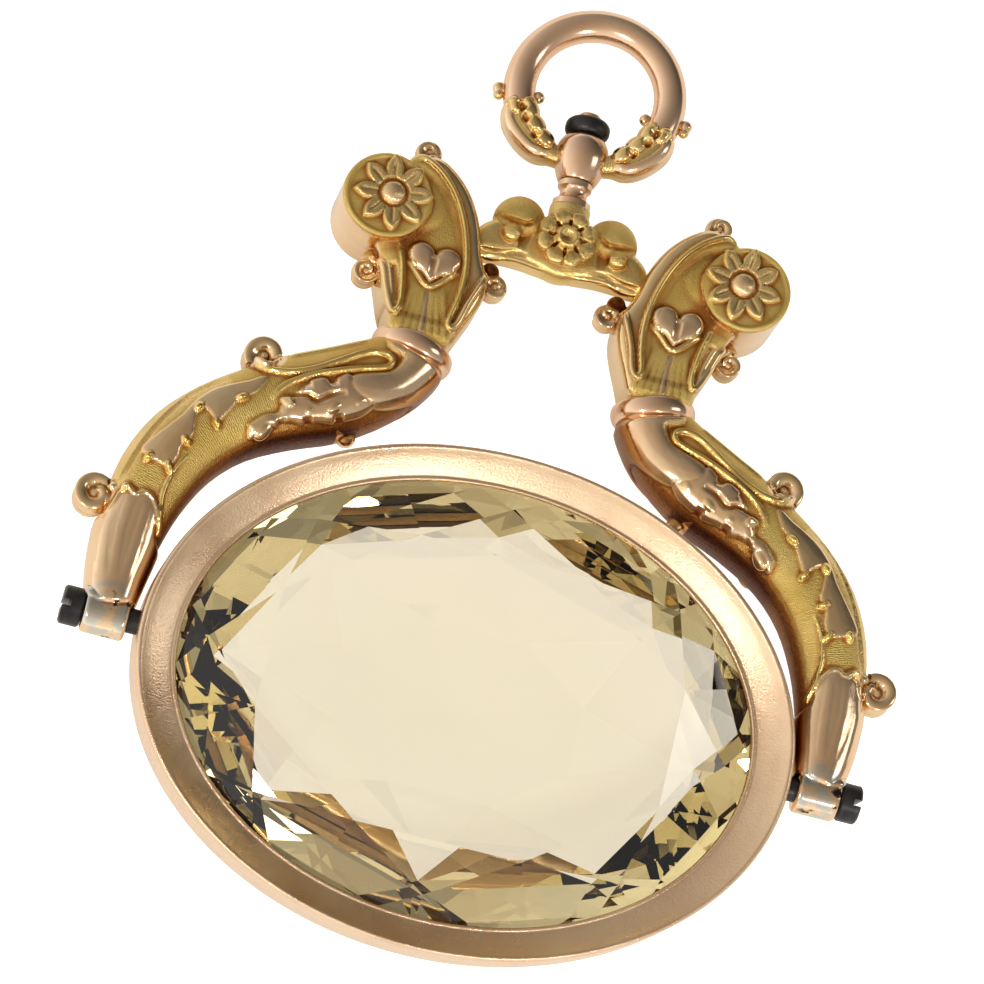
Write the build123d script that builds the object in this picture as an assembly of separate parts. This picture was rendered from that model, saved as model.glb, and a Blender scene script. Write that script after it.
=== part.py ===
from build123d import *
from math import asin, atan2, cos, degrees, hypot, pi, radians, sin
import os

# A gold swivel pendant lying on a flat surface: a big oval citrine in a dished bezel that
# turns on two screws between the feet of a yoke of two cast volute arms, with a swivel bow.
# The row's frame: X along the screws, Y towards the bow, Z up, and the origin on the floor
# at the middle of the stone's back table. Millimetres and degrees.

# The stone
stone_length = 43.2
stone_width = 32.8
girdle_thickness = 0.7
crown_height = 4.0
pavilion_depth = 8.8
table_length = 31.6
table_width = 22.4
back_table_length = 30.6
back_table_width = 21.6
facet_fold = 8
break_height = 0.45
break_lift = 0.12

# The bezel
bezel_end_margin = 2.05
bezel_side_margin = 1.5
bezel_depth = 5.2
bezel_wall = 0.7
bezel_rim = 0.35
bezel_edge_radius = 0.25
lip_overlap = 1.0
lip_thickness = 0.25
stone_clearance = 0.2

# The pivots
eye_gap = 0.75
eye_radius = 1.6
eye_length = 3.2
eye_edge_radius = 0.3
screw_radius = 0.9
screw_tip_gap = 0.6
screw_head_radius = 1.4
screw_head_thickness = 1.5
screw_slot_width = 0.45
screw_slot_depth = 0.6
running_clearance = 0.05
thread_clearance = 0.02

# The arms of the yoke
arm_rise = 24.6
arm_depth = 5.8
relief_height = 0.3
ridge_width = 0.42
arm_bud_radius = 1.4
stop_lug_radius = 0.55

# The collars and the volute heads
collar_width = 5.7
collar_depth = 5.4
collar_height = 1.6
collar_rounding = 0.67
collar_tilt = 13.0
head_length = 15.0
head_width = 12.0
head_depth = 4.8
head_edge = 0.6
disc_radius = 3.2
disc_draft = 0.3
disc_depth = 6.2
disc_rim_width = 0.3
petal_count = 8
petal_length = 1.65
petal_width = 1.05
petal_belly_share = 0.6
petal_height = 0.3
rosette_button_radius = 0.9
heart_width = 3.8
heart_length = 2.9
heart_lobe_share = 0.27
head_bud_radius = 1.0

# The bridge with its flower
bridge_depth = 3.0
bridge_height = 3.4
bridge_seat = 8.18
bridge_stand = 5.72
bridge_inset = 2.4
bridge_arch = 0.3
lobe_radius = 1.85
lobe_reach = 3.45
lobe_height = 3.82
lobe_edge_radius = 0.75
bead_radius = 0.7
bead_reach = 3.8
bead_height = 2.37
flower_height = 2.52
flower_radius = 1.65
flower_petal_radius = 0.66
flower_petal_count = 8
flower_button_radius = 0.85
flower_stand = 0.55
boss_radius = 1.5

# The swivel post and its washer
post_radius = 0.62
post_pin_radius = 0.8
post_pin_length = 1.3
neck_height = 1.95
neck_base_radius = 1.4
neck_waist_radius = 1.0
neck_top_radius = 1.25
neck_lip = 0.43
washer_radius = 1.65
washer_thickness = 1.4
washer_edge_radius = 0.6
rivet_radius = 0.85
rivet_height = 0.45
rivet_edge_radius = 0.36
seat_gap = 0.05

# The bow
ball_radius = 1.95
ball_height = 3.6
ball_flat_radius = 1.25
ring_radius = 5.53
ring_wire_radius = 1.17
ring_centre_gap = 3.47
leaf_end_radius = 1.36
bow_neck_radius = 0.85
bow_neck_reach = 0.8
bow_neck_drop = 0.3
bow_neck_lean = 14.0
outer_knob_radius = 0.6
inner_knob_radius = 0.45
bow_turn = 9.0
floor_clearance = 0.3

# What follows from these sizes
bezel_length = stone_length + 2 * bezel_end_margin
bezel_width = stone_width + 2 * bezel_side_margin
opening_length = stone_length - 2 * lip_overlap
opening_width = stone_width - 2 * lip_overlap
pivot_span = bezel_length + eye_length + 2 * eye_gap
half_span = pivot_span / 2
pivot_height = pavilion_depth
bridge_base = arm_rise + bridge_seat
bridge_top = bridge_base + bridge_stand


def mirrored(solid):
    """The same piece on the other side of the YZ plane."""
    return mirror(solid, about=Plane.YZ)


def both_faces(solid):
    """The piece and its copy on the back of the yoke, which is stamped alike on both faces."""
    return [solid, mirror(solid, about=Plane.XY)]


def through(outline, half_depth):
    """An outline of the yoke's plane as a plate, as deep behind the plane as before it."""
    return extrude(Pos(0, 0, -half_depth) * outline, 2 * half_depth)


def one_solid(parts):
    """The pieces soldered together, as one solid."""
    whole = parts[0]
    for part in parts[1:]:
        whole += part
    return whole.solid()


# The citrine: an oval of flat facets, cut on both sides

def on_oval(length, width, angle, height):
    """A point of an oval at an angle in degrees, at a height above the girdle's plane."""
    return Vector(length / 2 * cos(radians(angle)), width / 2 * sin(radians(angle)), height)


def cut_facet(stone, p, q, r):
    """The stone without what lies outside the plane through three points of one facet."""
    normal = (q - p).cross(r - p).normalized()
    if normal.dot(p) < 0:
        normal = -normal
    return split(stone, bisect_by=Plane(origin=p, z_dir=normal), keep=Keep.BOTTOM)


def cut_side(stone, flat_length, flat_width, girdle_side, flat_height, first):
    """One side of the stone: star facets under the table, kites between, pairs at the girdle."""
    step = 360 / facet_fold
    rise = flat_height - girdle_side
    for index in range(facet_fold):
        middle = first + index * step
        left, right = middle - step / 2, middle + step / 2
        corner_left = on_oval(flat_length, flat_width, left, flat_height)
        corner_right = on_oval(flat_length, flat_width, right, flat_height)
        tip = on_oval(stone_length, stone_width, middle, girdle_side)
        stone = cut_facet(stone, corner_left, corner_right, tip)
        foot = on_oval(stone_length, stone_width, right, girdle_side)
        along = on_oval(stone_length, stone_width, right + 90, 0)
        stone = cut_facet(stone, corner_right, foot, foot + along)
        for corner, side in ((corner_left, left), (corner_right, right)):
            girdle_end = on_oval(stone_length, stone_width, side, girdle_side)
            shoulder = corner + (tip - corner) * (1 - break_height)
            shoulder += Vector(0, 0, rise * break_height * break_lift)
            stone = cut_facet(stone, tip, girdle_end, shoulder)
    return stone


def make_citrine():
    half_step = 180 / facet_fold
    outline = [on_oval(stone_length, stone_width, half_step * k, 0) for k in range(2 * facet_fold)]
    girdle = make_face(Polyline(*outline, close=True))
    stone = extrude(girdle, crown_height) + extrude(girdle, -pavilion_depth)
    half_girdle = girdle_thickness / 2
    stone = cut_side(stone, table_length, table_width, half_girdle, crown_height, 0)
    stone = cut_side(
        stone, back_table_length, back_table_width, -half_girdle, -pavilion_depth, half_step
    )
    return stone.solid()


# The bezel: a hollow gold frame, dished in front and nearly flat behind

def seat_height(rise, flat_share):
    """How far above the girdle's plane the stone reaches under the edge of a lip."""
    opening_share = min(opening_length / stone_length, opening_width / stone_width)
    slope = rise / (1 - flat_share * cos(pi / facet_fold))
    return girdle_thickness / 2 + slope * (1 - opening_share) + stone_clearance


def oval(length, width, height):
    return Pos(0, 0, height) * Ellipse(length / 2, width / 2)


def make_bezel():
    half = bezel_depth / 2
    half_girdle = girdle_thickness / 2
    front_share = min(table_length / stone_length, table_width / stone_width)
    back_share = min(back_table_length / stone_length, back_table_width / stone_width)
    front_seat = seat_height(crown_height - half_girdle, front_share)
    back_seat = seat_height(pavilion_depth - half_girdle, back_share)
    frame = extrude(Ellipse(bezel_length / 2, bezel_width / 2), half, both=True)
    frame = fillet(frame.edges().filter_by(GeomType.LINE, reverse=True), bezel_edge_radius)
    inside_length = bezel_length - 2 * bezel_wall
    inside_width = bezel_width - 2 * bezel_wall
    rim_length = bezel_length - 2 * (bezel_rim + bezel_edge_radius)
    rim_width = bezel_width - 2 * (bezel_rim + bezel_edge_radius)
    channel = extrude(Ellipse(inside_length / 2, inside_width / 2), half, both=True)
    for seat, side in ((front_seat, 1), (back_seat, -1)):
        narrow = oval(opening_length, opening_width, side * (seat + lip_thickness))
        wide = oval(rim_length, rim_width, side * half)
        frame -= loft([narrow, wide], ruled=True)
        roof_rise = max(half - 2 * lip_thickness, seat + lip_thickness)
        roof_low = oval(opening_length, opening_width, side * seat)
        roof_high = oval(inside_length, inside_width, side * roof_rise)
        channel -= loft([roof_low, roof_high], ruled=True)
        channel -= extrude(roof_high, side * bezel_depth)
    frame -= extrude(Ellipse(opening_length / 2, opening_width / 2), bezel_depth, both=True)
    frame -= channel
    hole = Cylinder(screw_radius + thread_clearance, bezel_length + 1, rotation=(0, 90, 0))
    return (frame - hole).solid()


# The screws that the bezel turns on, in place at the right-hand eye

def make_screw():
    head_start = half_span + eye_length / 2 + seat_gap
    screw_length = head_start - stone_length / 2 - screw_tip_gap
    shaft = Pos(head_start - screw_length / 2, 0, 0) * Cylinder(
        screw_radius, screw_length, rotation=(0, 90, 0)
    )
    head = Cylinder(screw_head_radius, screw_head_thickness, rotation=(0, 90, 0))
    head = chamfer(head.edges(), screw_slot_width / 3)
    head = Pos(head_start + screw_head_thickness / 2, 0, 0) * head
    slot_middle = head_start + screw_head_thickness - screw_slot_depth / 2
    slot = Pos(slot_middle + screw_slot_depth / 4, 0, 0) * Box(
        screw_slot_depth * 1.5, screw_slot_width, 3 * screw_head_radius
    )
    return (shaft + head - slot).solid()


# The arms of the yoke, in the yoke's own plane: X across, Y up from the pivots, Z to the front

# A row for each section, collar to foot: where the outer and inner edge lie, as shares of
# the half span and of the arm's rise, and the depth as a share of the arm's depth.
ARM_SECTIONS = [
    # outer_x, outer_y, inner_x, inner_y, depth
    (0.448, 1.016, 0.252, 0.955, 0.80),
    (0.515, 0.976, 0.285, 0.890, 0.90),
    (0.600, 0.931, 0.354, 0.785, 0.99),
    (0.700, 0.878, 0.477, 0.687, 1.00),
    (0.792, 0.813, 0.608, 0.626, 0.98),
    (0.900, 0.728, 0.723, 0.557, 0.95),
    (0.996, 0.614, 0.808, 0.463, 0.89),
    (1.058, 0.467, 0.865, 0.346, 0.81),
    (1.079, 0.293, 0.900, 0.228, 0.71),
    (1.073, 0.122, 0.925, 0.106, 0.60),
    (1.045, 0.020, 0.935, 0.020, 0.54),
]

# The leaf along an arm's outer side: the band that it covers, out past the arm's edge, and
# the round tips of its lower side.
LEAF_BAND = [
    (0.672, 0.742), (0.750, 0.707), (0.865, 0.630), (0.923, 0.565), (0.962, 0.520), (1.035, 0.512),
    (1.135, 0.512), (1.150, 0.850), (0.850, 0.992), (0.665, 0.915),
]
LEAF_TIPS = [
    # x, y, radius as a share of the half span
    (0.715, 0.724, 0.042),
    (0.804, 0.646, 0.058),
    (0.877, 0.569, 0.054),
    (0.946, 0.512, 0.058),
    (1.008, 0.504, 0.046),
]

# The smooth lobes that run down from the collar: centre, half length, half width, turn.
ARM_LOBES = [
    # x, y, half_length, half_width, turn
    (0.452, 0.850, 0.100, 0.063, -38.0),
    (0.540, 0.772, 0.073, 0.050, -36.0),
    (0.625, 0.706, 0.058, 0.041, -38.0),
    (0.692, 0.640, 0.034, 0.031, -45.0),
]

# Raised lines on the arm: the scroll under the collar and the line down to the foot.
SCROLL_LINE = [
    (0.394, 0.900), (0.415, 0.937), (0.497, 0.923), (0.590, 0.868), (0.665, 0.822), (0.723, 0.802),
]
FOOT_LINE = [(0.905, 0.442), (0.936, 0.380), (0.944, 0.310), (0.934, 0.250)]
FOOT_SHEATH = [
    (0.925, 0.325), (0.962, 0.362), (0.997, 0.348), (1.030, 0.365), (1.047, 0.331), (1.120, 0.300),
]
FOOT_SHEATH_END = [(1.120, 0.050), (0.900, 0.050)]
ARM_BUDS = [(0.743, 0.866), (1.106, 0.337)]
STOP_LUG = (0.452, 0.706)


def on_arm(x_share, y_share):
    return (x_share * half_span, y_share * arm_rise)


def arm_section(row, extra):
    """The rounded section between an arm's edges, thicker by an extra, half of it at the edges."""
    outer_x, outer_y, inner_x, inner_y, depth = row
    outer = Vector(*on_arm(outer_x, outer_y))
    inner = Vector(*on_arm(inner_x, inner_y))
    across = (outer - inner).normalized()
    down = Vector(0, 0, 1).cross(across)
    plane = Plane(origin=(outer + inner) / 2, x_dir=across, z_dir=down)
    half_width = (outer - inner).length / 2
    return plane * Ellipse(half_width + extra / 2, depth * arm_depth / 2 + extra)


def arm_body(extra=0.0):
    return loft([arm_section(row, extra) for row in ARM_SECTIONS])


def ridge(points):
    """The outline of a thin raised line through some points."""
    return trace(Spline(*points), ridge_width)


def arm_relief():
    """The outlines of what stands proud of the arm's surface."""
    leaf = make_face(Polyline(*[on_arm(*share) for share in LEAF_BAND], close=True))
    for x, y, radius in LEAF_TIPS:
        leaf += Pos(*on_arm(x, y)) * Circle(radius * half_span)
    outlines = [leaf]
    for x, y, half_length, half_width, turn in ARM_LOBES:
        lobe = Ellipse(half_length * half_span, half_width * half_span)
        outlines.append(Pos(*on_arm(x, y)) * Rot(0, 0, turn) * lobe)
    sheath = [on_arm(*share) for share in FOOT_SHEATH]
    foot = [on_arm(*share) for share in FOOT_SHEATH_END]
    outlines.append(make_face([Spline(*sheath), Polyline(sheath[-1], *foot, sheath[0])]))
    outlines.append(ridge([on_arm(*share) for share in SCROLL_LINE]))
    outlines.append(ridge([on_arm(*share) for share in FOOT_LINE]))
    return outlines


def make_arm():
    raised = arm_body(relief_height)
    parts = [arm_body()]
    for outline in arm_relief():
        parts.append(raised & through(outline, arm_depth))
    for share in ARM_BUDS:
        parts.append(Pos(*on_arm(*share)) * Sphere(arm_bud_radius))
    parts.append(Pos(*on_arm(*STOP_LUG)) * Sphere(stop_lug_radius))
    return parts


# The collar and the volute head above it

# The head's outline from the collar's inner end round to its outer end, as shares of the
# head's width and length, measured from the middle of the collar.
HEAD_OUTLINE = [
    (-0.205, 0.000), (-0.300, 0.170), (-0.350, 0.320), (-0.335, 0.420), (-0.265, 0.520),
    (-0.222, 0.680), (-0.140, 0.810), (-0.030, 0.905), (0.100, 0.975), (0.240, 0.945),
    (0.360, 0.860), (0.420, 0.680), (0.400, 0.480), (0.310, 0.370), (0.255, 0.240), (0.200, 0.000),
]
STRAP_LINE = [
    (0.180, 0.925), (0.055, 0.865), (-0.045, 0.775), (-0.125, 0.665), (-0.175, 0.540), (-0.205, 0.400),
    (-0.190, 0.250), (-0.150, 0.130),
]
OUTER_LINE = [(0.325, 0.420), (0.260, 0.310), (0.225, 0.200), (0.180, 0.130)]
INNER_LINE = [(0.200, 0.420), (0.175, 0.330), (0.155, 0.240), (0.150, 0.150)]
HEAD_BUDS = [(0.155, 1.005), (0.375, 0.335), (-0.395, 0.425)]
HEART_TIP = (-0.020, 0.295)


COLLAR_MIDDLE = (0.3462, 1.000)
DISC_MIDDLE = (0.350, 0.680)
collar_reach, collar_rise = on_arm(*COLLAR_MIDDLE)


def on_head(across, up):
    return (collar_reach + across * head_width, collar_rise + up * head_length)


disc_reach, disc_rise = on_head(*DISC_MIDDLE)
bridge_reach = collar_reach - bridge_inset


def head_plate():
    """The body of the head: a plate of its outline with both edges cut back."""
    points = [on_head(*share) for share in HEAD_OUTLINE]
    outline = make_face([Spline(*points), Line(points[-1], points[0])])
    plate = through(outline, head_depth / 2)
    faces = plate.faces().sort_by(Axis.Z)
    return chamfer(faces[0].edges() + faces[-1].edges(), head_edge)


def heart_outline():
    """A heart with its tip at the origin and its two lobes up."""
    lobe = heart_width * heart_lobe_share
    reach = heart_width / 2 - lobe
    shoulder = heart_length - lobe
    lean = asin(lobe / hypot(reach, shoulder)) + atan2(reach, shoulder)
    side_length = shoulder * cos(lean) + reach * sin(lean)
    side = (side_length * sin(lean), side_length * cos(lean))
    heart = make_face(Polyline(
        (0, 0), side, (reach, shoulder), (0, shoulder), (-reach, shoulder), (-side[0], side[1]),
        close=True,
    ))
    for direction in (-1, 1):
        heart += Pos(direction * reach, shoulder) * Circle(lobe)
    return heart


def make_collar():
    collar = extrude(Ellipse(collar_width / 2, collar_depth / 2), collar_height / 2, both=True)
    collar = fillet(collar.edges().filter_by(GeomType.LINE, reverse=True), collar_rounding)
    return Pos(collar_reach, collar_rise, 0) * Rot(0, 0, collar_tilt) * Rot(90, 0, 0) * collar


def make_disc():
    """The round end of the volute, with drafted sides, a rim line, eight petals and a button."""
    half = disc_depth / 2
    middle_radius = disc_radius + disc_draft
    side = Polyline(
        (0, -half), (disc_radius, -half), (middle_radius, 0), (disc_radius, half), (0, half),
        close=True,
    )
    disc = revolve(Plane.XZ * make_face(side), Axis.Z)
    rim = Circle(disc_radius) - Circle(disc_radius - disc_rim_width)
    petal_tip = petal_length + rosette_button_radius
    belly = petal_tip * petal_belly_share
    petal = make_face(Polyline(
        (0, 0), (belly, petal_width / 2), (petal_tip, 0), (belly, -petal_width / 2), close=True,
    ))
    flower = Circle(rosette_button_radius / 2)
    for index in range(petal_count):
        flower += Rot(0, 0, index * 360 / petal_count) * petal
    pieces = [disc, through(rim, half + relief_height / 2), through(flower, half + petal_height)]
    pieces += both_faces(Pos(0, 0, half) * Sphere(rosette_button_radius))
    return [Pos(disc_reach, disc_rise, 0) * piece for piece in pieces]


def make_head():
    half = head_depth / 2
    parts = [head_plate()]
    parts.append(through(Pos(*on_head(*HEART_TIP)) * heart_outline(), half + relief_height))
    for line in (STRAP_LINE, OUTER_LINE, INNER_LINE):
        points = [on_head(*share) for share in line]
        parts.append(through(ridge(points), half + relief_height / 2))
    for across, up in HEAD_BUDS:
        parts.append(Pos(*on_head(across, up)) * Sphere(head_bud_radius))
    return parts + make_disc()


def make_eye():
    barrel = Cylinder(eye_radius, eye_length, rotation=(0, 90, 0))
    return Pos(half_span, 0, 0) * fillet(barrel.edges().filter_by(GeomType.CIRCLE), eye_edge_radius)


# The bridge between the heads, with its flower, lobes and beads

def make_bridge():
    half = bridge_depth / 2
    end = bridge_reach
    low = bridge_base
    middle = low + bridge_height / 2
    high = low + bridge_height
    arch = low + bridge_arch
    lower_edge = Spline((-end, low), (-lobe_reach, arch), (0, low), (lobe_reach, arch), (end, low))
    sides = Polyline(
        (end, low), (end, middle), (lobe_reach, high), (-lobe_reach, high), (-end, middle), (-end, low)
    )
    parts = [through(make_face([lower_edge, sides]), half)]
    boss_length = bridge_top - middle
    boss = Cylinder(boss_radius, boss_length, rotation=(90, 0, 0))
    parts.append(Pos(0, bridge_top - boss_length / 2, 0) * boss)
    lobe = through(Circle(lobe_radius), half)
    lobe = fillet(lobe.edges().filter_by(GeomType.CIRCLE), lobe_edge_radius)
    for side in (-1, 1):
        parts.append(Pos(side * lobe_reach, low + lobe_height, 0) * lobe)
        bead = Pos(side * bead_reach, low + bead_height, half)
        parts += both_faces(bead * Sphere(bead_radius))
    centre = Pos(0, low + flower_height, 0)
    parts.append(through(centre * Circle(flower_radius), half + flower_stand))
    parts += both_faces(centre * Pos(0, 0, half + flower_stand) * Sphere(flower_button_radius))
    for index in range(flower_petal_count):
        turn = radians(index * 360 / flower_petal_count)
        place = Pos(flower_radius * cos(turn), flower_radius * sin(turn), half + flower_stand / 2)
        parts += both_faces(centre * place * Sphere(flower_petal_radius))
    return parts


def make_yoke():
    head = one_solid(make_head() + [make_collar()])
    right = one_solid(make_arm() + [head, make_eye()])
    whole = one_solid([one_solid(make_bridge()), right, mirrored(right)])
    bore = Cylinder(screw_radius + running_clearance, 2 * pivot_span, rotation=(0, 90, 0))
    seat = Cylinder(screw_head_radius + running_clearance, eye_length, rotation=(0, 90, 0))
    seat = Pos(half_span + eye_length, 0, 0) * seat
    socket_length = post_pin_length + seat_gap
    socket = Cylinder(post_pin_radius + thread_clearance, socket_length * 2, rotation=(90, 0, 0))
    return (whole - bore - seat - mirrored(seat) - Pos(0, bridge_top, 0) * socket).solid()


# The post, with the neck that shows under the bow's ball, and the washer under its rivet head

neck_top = bridge_top + neck_height
ball_bottom = neck_top + seat_gap
washer_bottom = ball_bottom + ball_height + seat_gap
rivet_bottom = washer_bottom + washer_thickness + seat_gap
post_top = rivet_bottom + rivet_height


def upright(radius, low, high):
    """A round bar about the post's axis between two heights of the yoke's plane."""
    return Pos(0, (low + high) / 2, 0) * Cylinder(radius, high - low, rotation=(90, 0, 0))


def make_post():
    foot = (neck_base_radius, bridge_top + neck_lip)
    waist = (neck_waist_radius, bridge_top + neck_height / 2)
    top = (neck_top_radius, neck_top - neck_lip)
    neck_side = [
        Polyline((0, bridge_top), (neck_base_radius, bridge_top), foot),
        ThreePointArc(foot, waist, top),
        Polyline(top, (neck_top_radius, neck_top), (0, neck_top), (0, bridge_top)),
    ]
    neck = revolve(make_face(neck_side), Axis.Y)
    pin = upright(post_pin_radius, bridge_top - post_pin_length, bridge_top + neck_height / 2)
    shaft = upright(post_radius, bridge_top + neck_height / 2, rivet_bottom + rivet_height / 2)
    head = upright(rivet_radius, rivet_bottom, post_top)
    head = fillet(head.edges().filter_by(GeomType.CIRCLE).sort_by(Axis.Y)[-1], rivet_edge_radius)
    return (neck + pin + shaft + head).solid()


def make_washer():
    ring = Cylinder(washer_radius, washer_thickness, rotation=(90, 0, 0))
    ring = fillet(ring.edges().filter_by(GeomType.CIRCLE), washer_edge_radius)
    ring -= Cylinder(post_radius + thread_clearance, 2 * washer_thickness, rotation=(90, 0, 0))
    return (Pos(0, washer_bottom + washer_thickness / 2, 0) * ring).solid()


# The bow: a drilled ball, two cast leaf ends and a round wire

ball_middle = ball_bottom + ball_height / 2
ring_middle = ball_bottom + ball_height + ring_centre_gap

# The leaf ends, as angles from the ring's lowest point and the radius of the end there.
LEAF_END_SECTIONS = [
    # angle, radius_share of the leaf end's radius
    (62.0, 0.86),
    (46.0, 1.00),
    (30.0, 0.96),
    (20.0, 0.70),
]
LEAF_BUMPS = [
    # angle, outward and forward as shares of the wire's radius, radius share
    (58.0, 0.45, 0.55, 0.62),
    (45.0, -0.15, 0.70, 0.66),
    (33.0, 0.40, 0.60, 0.60),
]
OUTER_KNOB_ANGLE = 80.0
INNER_KNOB_ANGLE = 74.0
WIRE_START_ANGLE = 58.0


def ring_point(angle, outward=0.0, forward=0.0):
    """A point on the ring, at an angle from its lowest point towards +X."""
    radius = ring_radius + outward
    return Vector(radius * sin(radians(angle)), ring_middle - radius * cos(radians(angle)), forward)


def ring_plane(angle):
    along = Vector(cos(radians(angle)), sin(radians(angle)), 0)
    return Plane(origin=ring_point(angle), x_dir=(0, 0, 1), z_dir=along)


def make_bow_end():
    """The right-hand leaf end, from the wire to the ball."""
    sections = []
    for angle, share in LEAF_END_SECTIONS:
        sections.append(ring_plane(angle) * Circle(leaf_end_radius * share))
    neck_middle = Vector(bow_neck_reach, ball_middle - bow_neck_drop, 0)
    along = Vector(cos(radians(bow_neck_lean)), sin(radians(bow_neck_lean)), 0)
    neck_plane = Plane(origin=neck_middle, x_dir=(0, 0, 1), z_dir=along)
    sections.append(neck_plane * Circle(bow_neck_radius))
    parts = [loft(sections)]
    for angle, outward, forward, share in LEAF_BUMPS:
        for face in (-1, 1):
            place = ring_point(angle, outward * ring_wire_radius, face * forward * ring_wire_radius)
            parts.append(Pos(place) * Sphere(ring_wire_radius * share))
    outer = ring_point(OUTER_KNOB_ANGLE, ring_wire_radius)
    parts.append(Pos(outer) * Sphere(outer_knob_radius))
    inner = ring_point(INNER_KNOB_ANGLE, -ring_wire_radius)
    parts.append(Pos(inner) * Sphere(inner_knob_radius))
    return parts


def make_bow():
    wire = Circle(ring_wire_radius)
    path_start = ring_point(WIRE_START_ANGLE)
    path = ThreePointArc(path_start, ring_point(180), Vector(-path_start.X, path_start.Y, 0))
    ring = sweep(ring_plane(WIRE_START_ANGLE) * wire, path=path)
    half = ball_height / 2
    side = [
        Polyline((0, -half), (ball_flat_radius, -half)),
        ThreePointArc((ball_flat_radius, -half), (ball_radius, 0), (ball_flat_radius, half)),
        Polyline((ball_flat_radius, half), (0, half), (0, -half)),
    ]
    ball = Pos(0, ball_middle, 0) * revolve(make_face(side), Axis.Y)
    right = make_bow_end()
    left = [mirrored(piece) for piece in right]
    whole = one_solid([ball, ring] + right + left)
    bore = Cylinder(post_radius + running_clearance, 2 * ball_height, rotation=(90, 0, 0))
    return (whole - Pos(0, ball_middle, 0) * bore).solid()


# How the yoke lies: it drops about the pivots until the first of its back points meets the floor

def lying_tilt(reach, depth):
    """The yoke's tilt at which a point behind its plane would meet the floor."""
    return degrees(asin(pivot_height / hypot(reach, depth)) - atan2(depth, reach))


rest_points = [
    (disc_rise, disc_depth / 2 + rosette_button_radius),
    (disc_rise + disc_radius, disc_depth / 2 + relief_height),
    (ring_middle + ring_radius, ring_wire_radius + floor_clearance),
]
yoke_tilt = min(lying_tilt(reach, depth) for reach, depth in rest_points)
low_wire = pivot_height - ring_middle * sin(radians(yoke_tilt)) - ring_wire_radius - floor_clearance
turn_limit = degrees(asin(max(0.0, min(1.0, low_wire / ring_radius))))
# The bow rests a little swivelled, its left side down, as far as the floor lets it.
resting_bow_turn = min(bow_turn, turn_limit)


def lift(solid):
    """From the pivot's own frame to the row's: the stone lies flat on its back table."""
    return Pos(0, 0, pivot_height) * solid


def lay(solid):
    """From the yoke's plane to the row's frame."""
    return Pos(0, 0, pivot_height) * Rot(-yoke_tilt, 0, 0) * solid


screw = make_screw()
nodes = {
    "citrine": lift(make_citrine()),
    "bezel": lift(make_bezel()),
    "pivot_screw_right": lift(screw),
    "pivot_screw_left": lift(mirrored(screw)),
    "yoke": lay(make_yoke()),
    "swivel_post": lay(make_post()),
    "post_washer": lay(make_washer()),
    "bow": lay(Rot(0, -resting_bow_turn, 0) * make_bow()),
}

os.makedirs("parts", exist_ok=True)
for name, solid in nodes.items():
    export_step(solid, f"parts/{name}.step")

print(f"yoke tilt {yoke_tilt:.3f}, bow turn {resting_bow_turn:.2f}, ring middle {ring_middle:.3f}")
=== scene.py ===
"""A gold swivel pendant with a big oval citrine, lying on a pale table.

The bezel turns on two screws between the feet of a yoke of two arms, and a bow turns on
a post above them. The sections follow the pendant as it is put together, from the stone out.
"""
from math import copysign, cos, pi, radians, sin

import bpy
import numpy as np
from mathutils import Matrix, Vector


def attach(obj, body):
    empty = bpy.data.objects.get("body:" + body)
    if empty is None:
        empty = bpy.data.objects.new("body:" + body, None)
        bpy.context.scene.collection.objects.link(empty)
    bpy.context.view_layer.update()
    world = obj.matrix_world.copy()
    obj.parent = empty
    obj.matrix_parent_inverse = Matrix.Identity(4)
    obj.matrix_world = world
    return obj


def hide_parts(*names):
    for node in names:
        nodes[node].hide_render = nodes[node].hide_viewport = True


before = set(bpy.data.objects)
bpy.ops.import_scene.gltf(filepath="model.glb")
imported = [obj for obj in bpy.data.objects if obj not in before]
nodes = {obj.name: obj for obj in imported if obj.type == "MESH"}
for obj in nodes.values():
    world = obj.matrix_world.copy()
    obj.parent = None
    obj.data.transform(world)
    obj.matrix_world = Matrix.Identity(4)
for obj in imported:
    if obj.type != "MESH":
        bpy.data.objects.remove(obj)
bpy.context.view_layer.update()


# The citrine: one pale yellow quartz, cut by hand with a big table, star and kite facets in
# front and a deeper faceted back. It is polished, and is held between the bezel's two lips.

def add_node(tree, kind, values=None, **settings):
    """Adds a shader node with its settings, and the values of its inputs by their names."""
    made = tree.nodes.new(kind)
    for name, value in settings.items():
        setattr(made, name, value)
    for socket, value in (values or {}).items():
        made.inputs[socket].default_value = value
    return made


def new_material(name):
    """A material, its node tree and its Principled shader."""
    material = bpy.data.materials.new(name)
    material.use_nodes = True
    tree = material.node_tree
    return material, tree, tree.nodes["Principled BSDF"]


def dress(thing, material):
    """Gives a mesh one material for all its faces."""
    thing.data.materials.clear()
    thing.data.materials.append(material)
    for face in thing.data.polygons:
        face.material_index = 0


def deselect():
    """Nothing selected, out of edit mode."""
    if bpy.context.mode != "OBJECT":
        bpy.ops.object.mode_set(mode="OBJECT")
    bpy.ops.object.select_all(action="DESELECT")


def apply_all(thing):
    """Puts an object's place, turn and size into its mesh."""
    deselect()
    thing.select_set(True)
    bpy.context.view_layer.objects.active = thing
    bpy.ops.object.transform_apply(location=True, rotation=True, scale=True)


def join(parts):
    """Joins meshes into the first and returns it."""
    deselect()
    for part in parts:
        part.select_set(True)
    bpy.context.view_layer.objects.active = parts[0]
    bpy.ops.object.join()
    return parts[0]


def settle(thing, matrix, name):
    """Moves a finished mesh from millimetres in its own plane to its place in the row's frame."""
    thing.data.transform(matrix)
    thing.data.update()
    thing.name = name
    thing.data.name = name
    return thing


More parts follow.
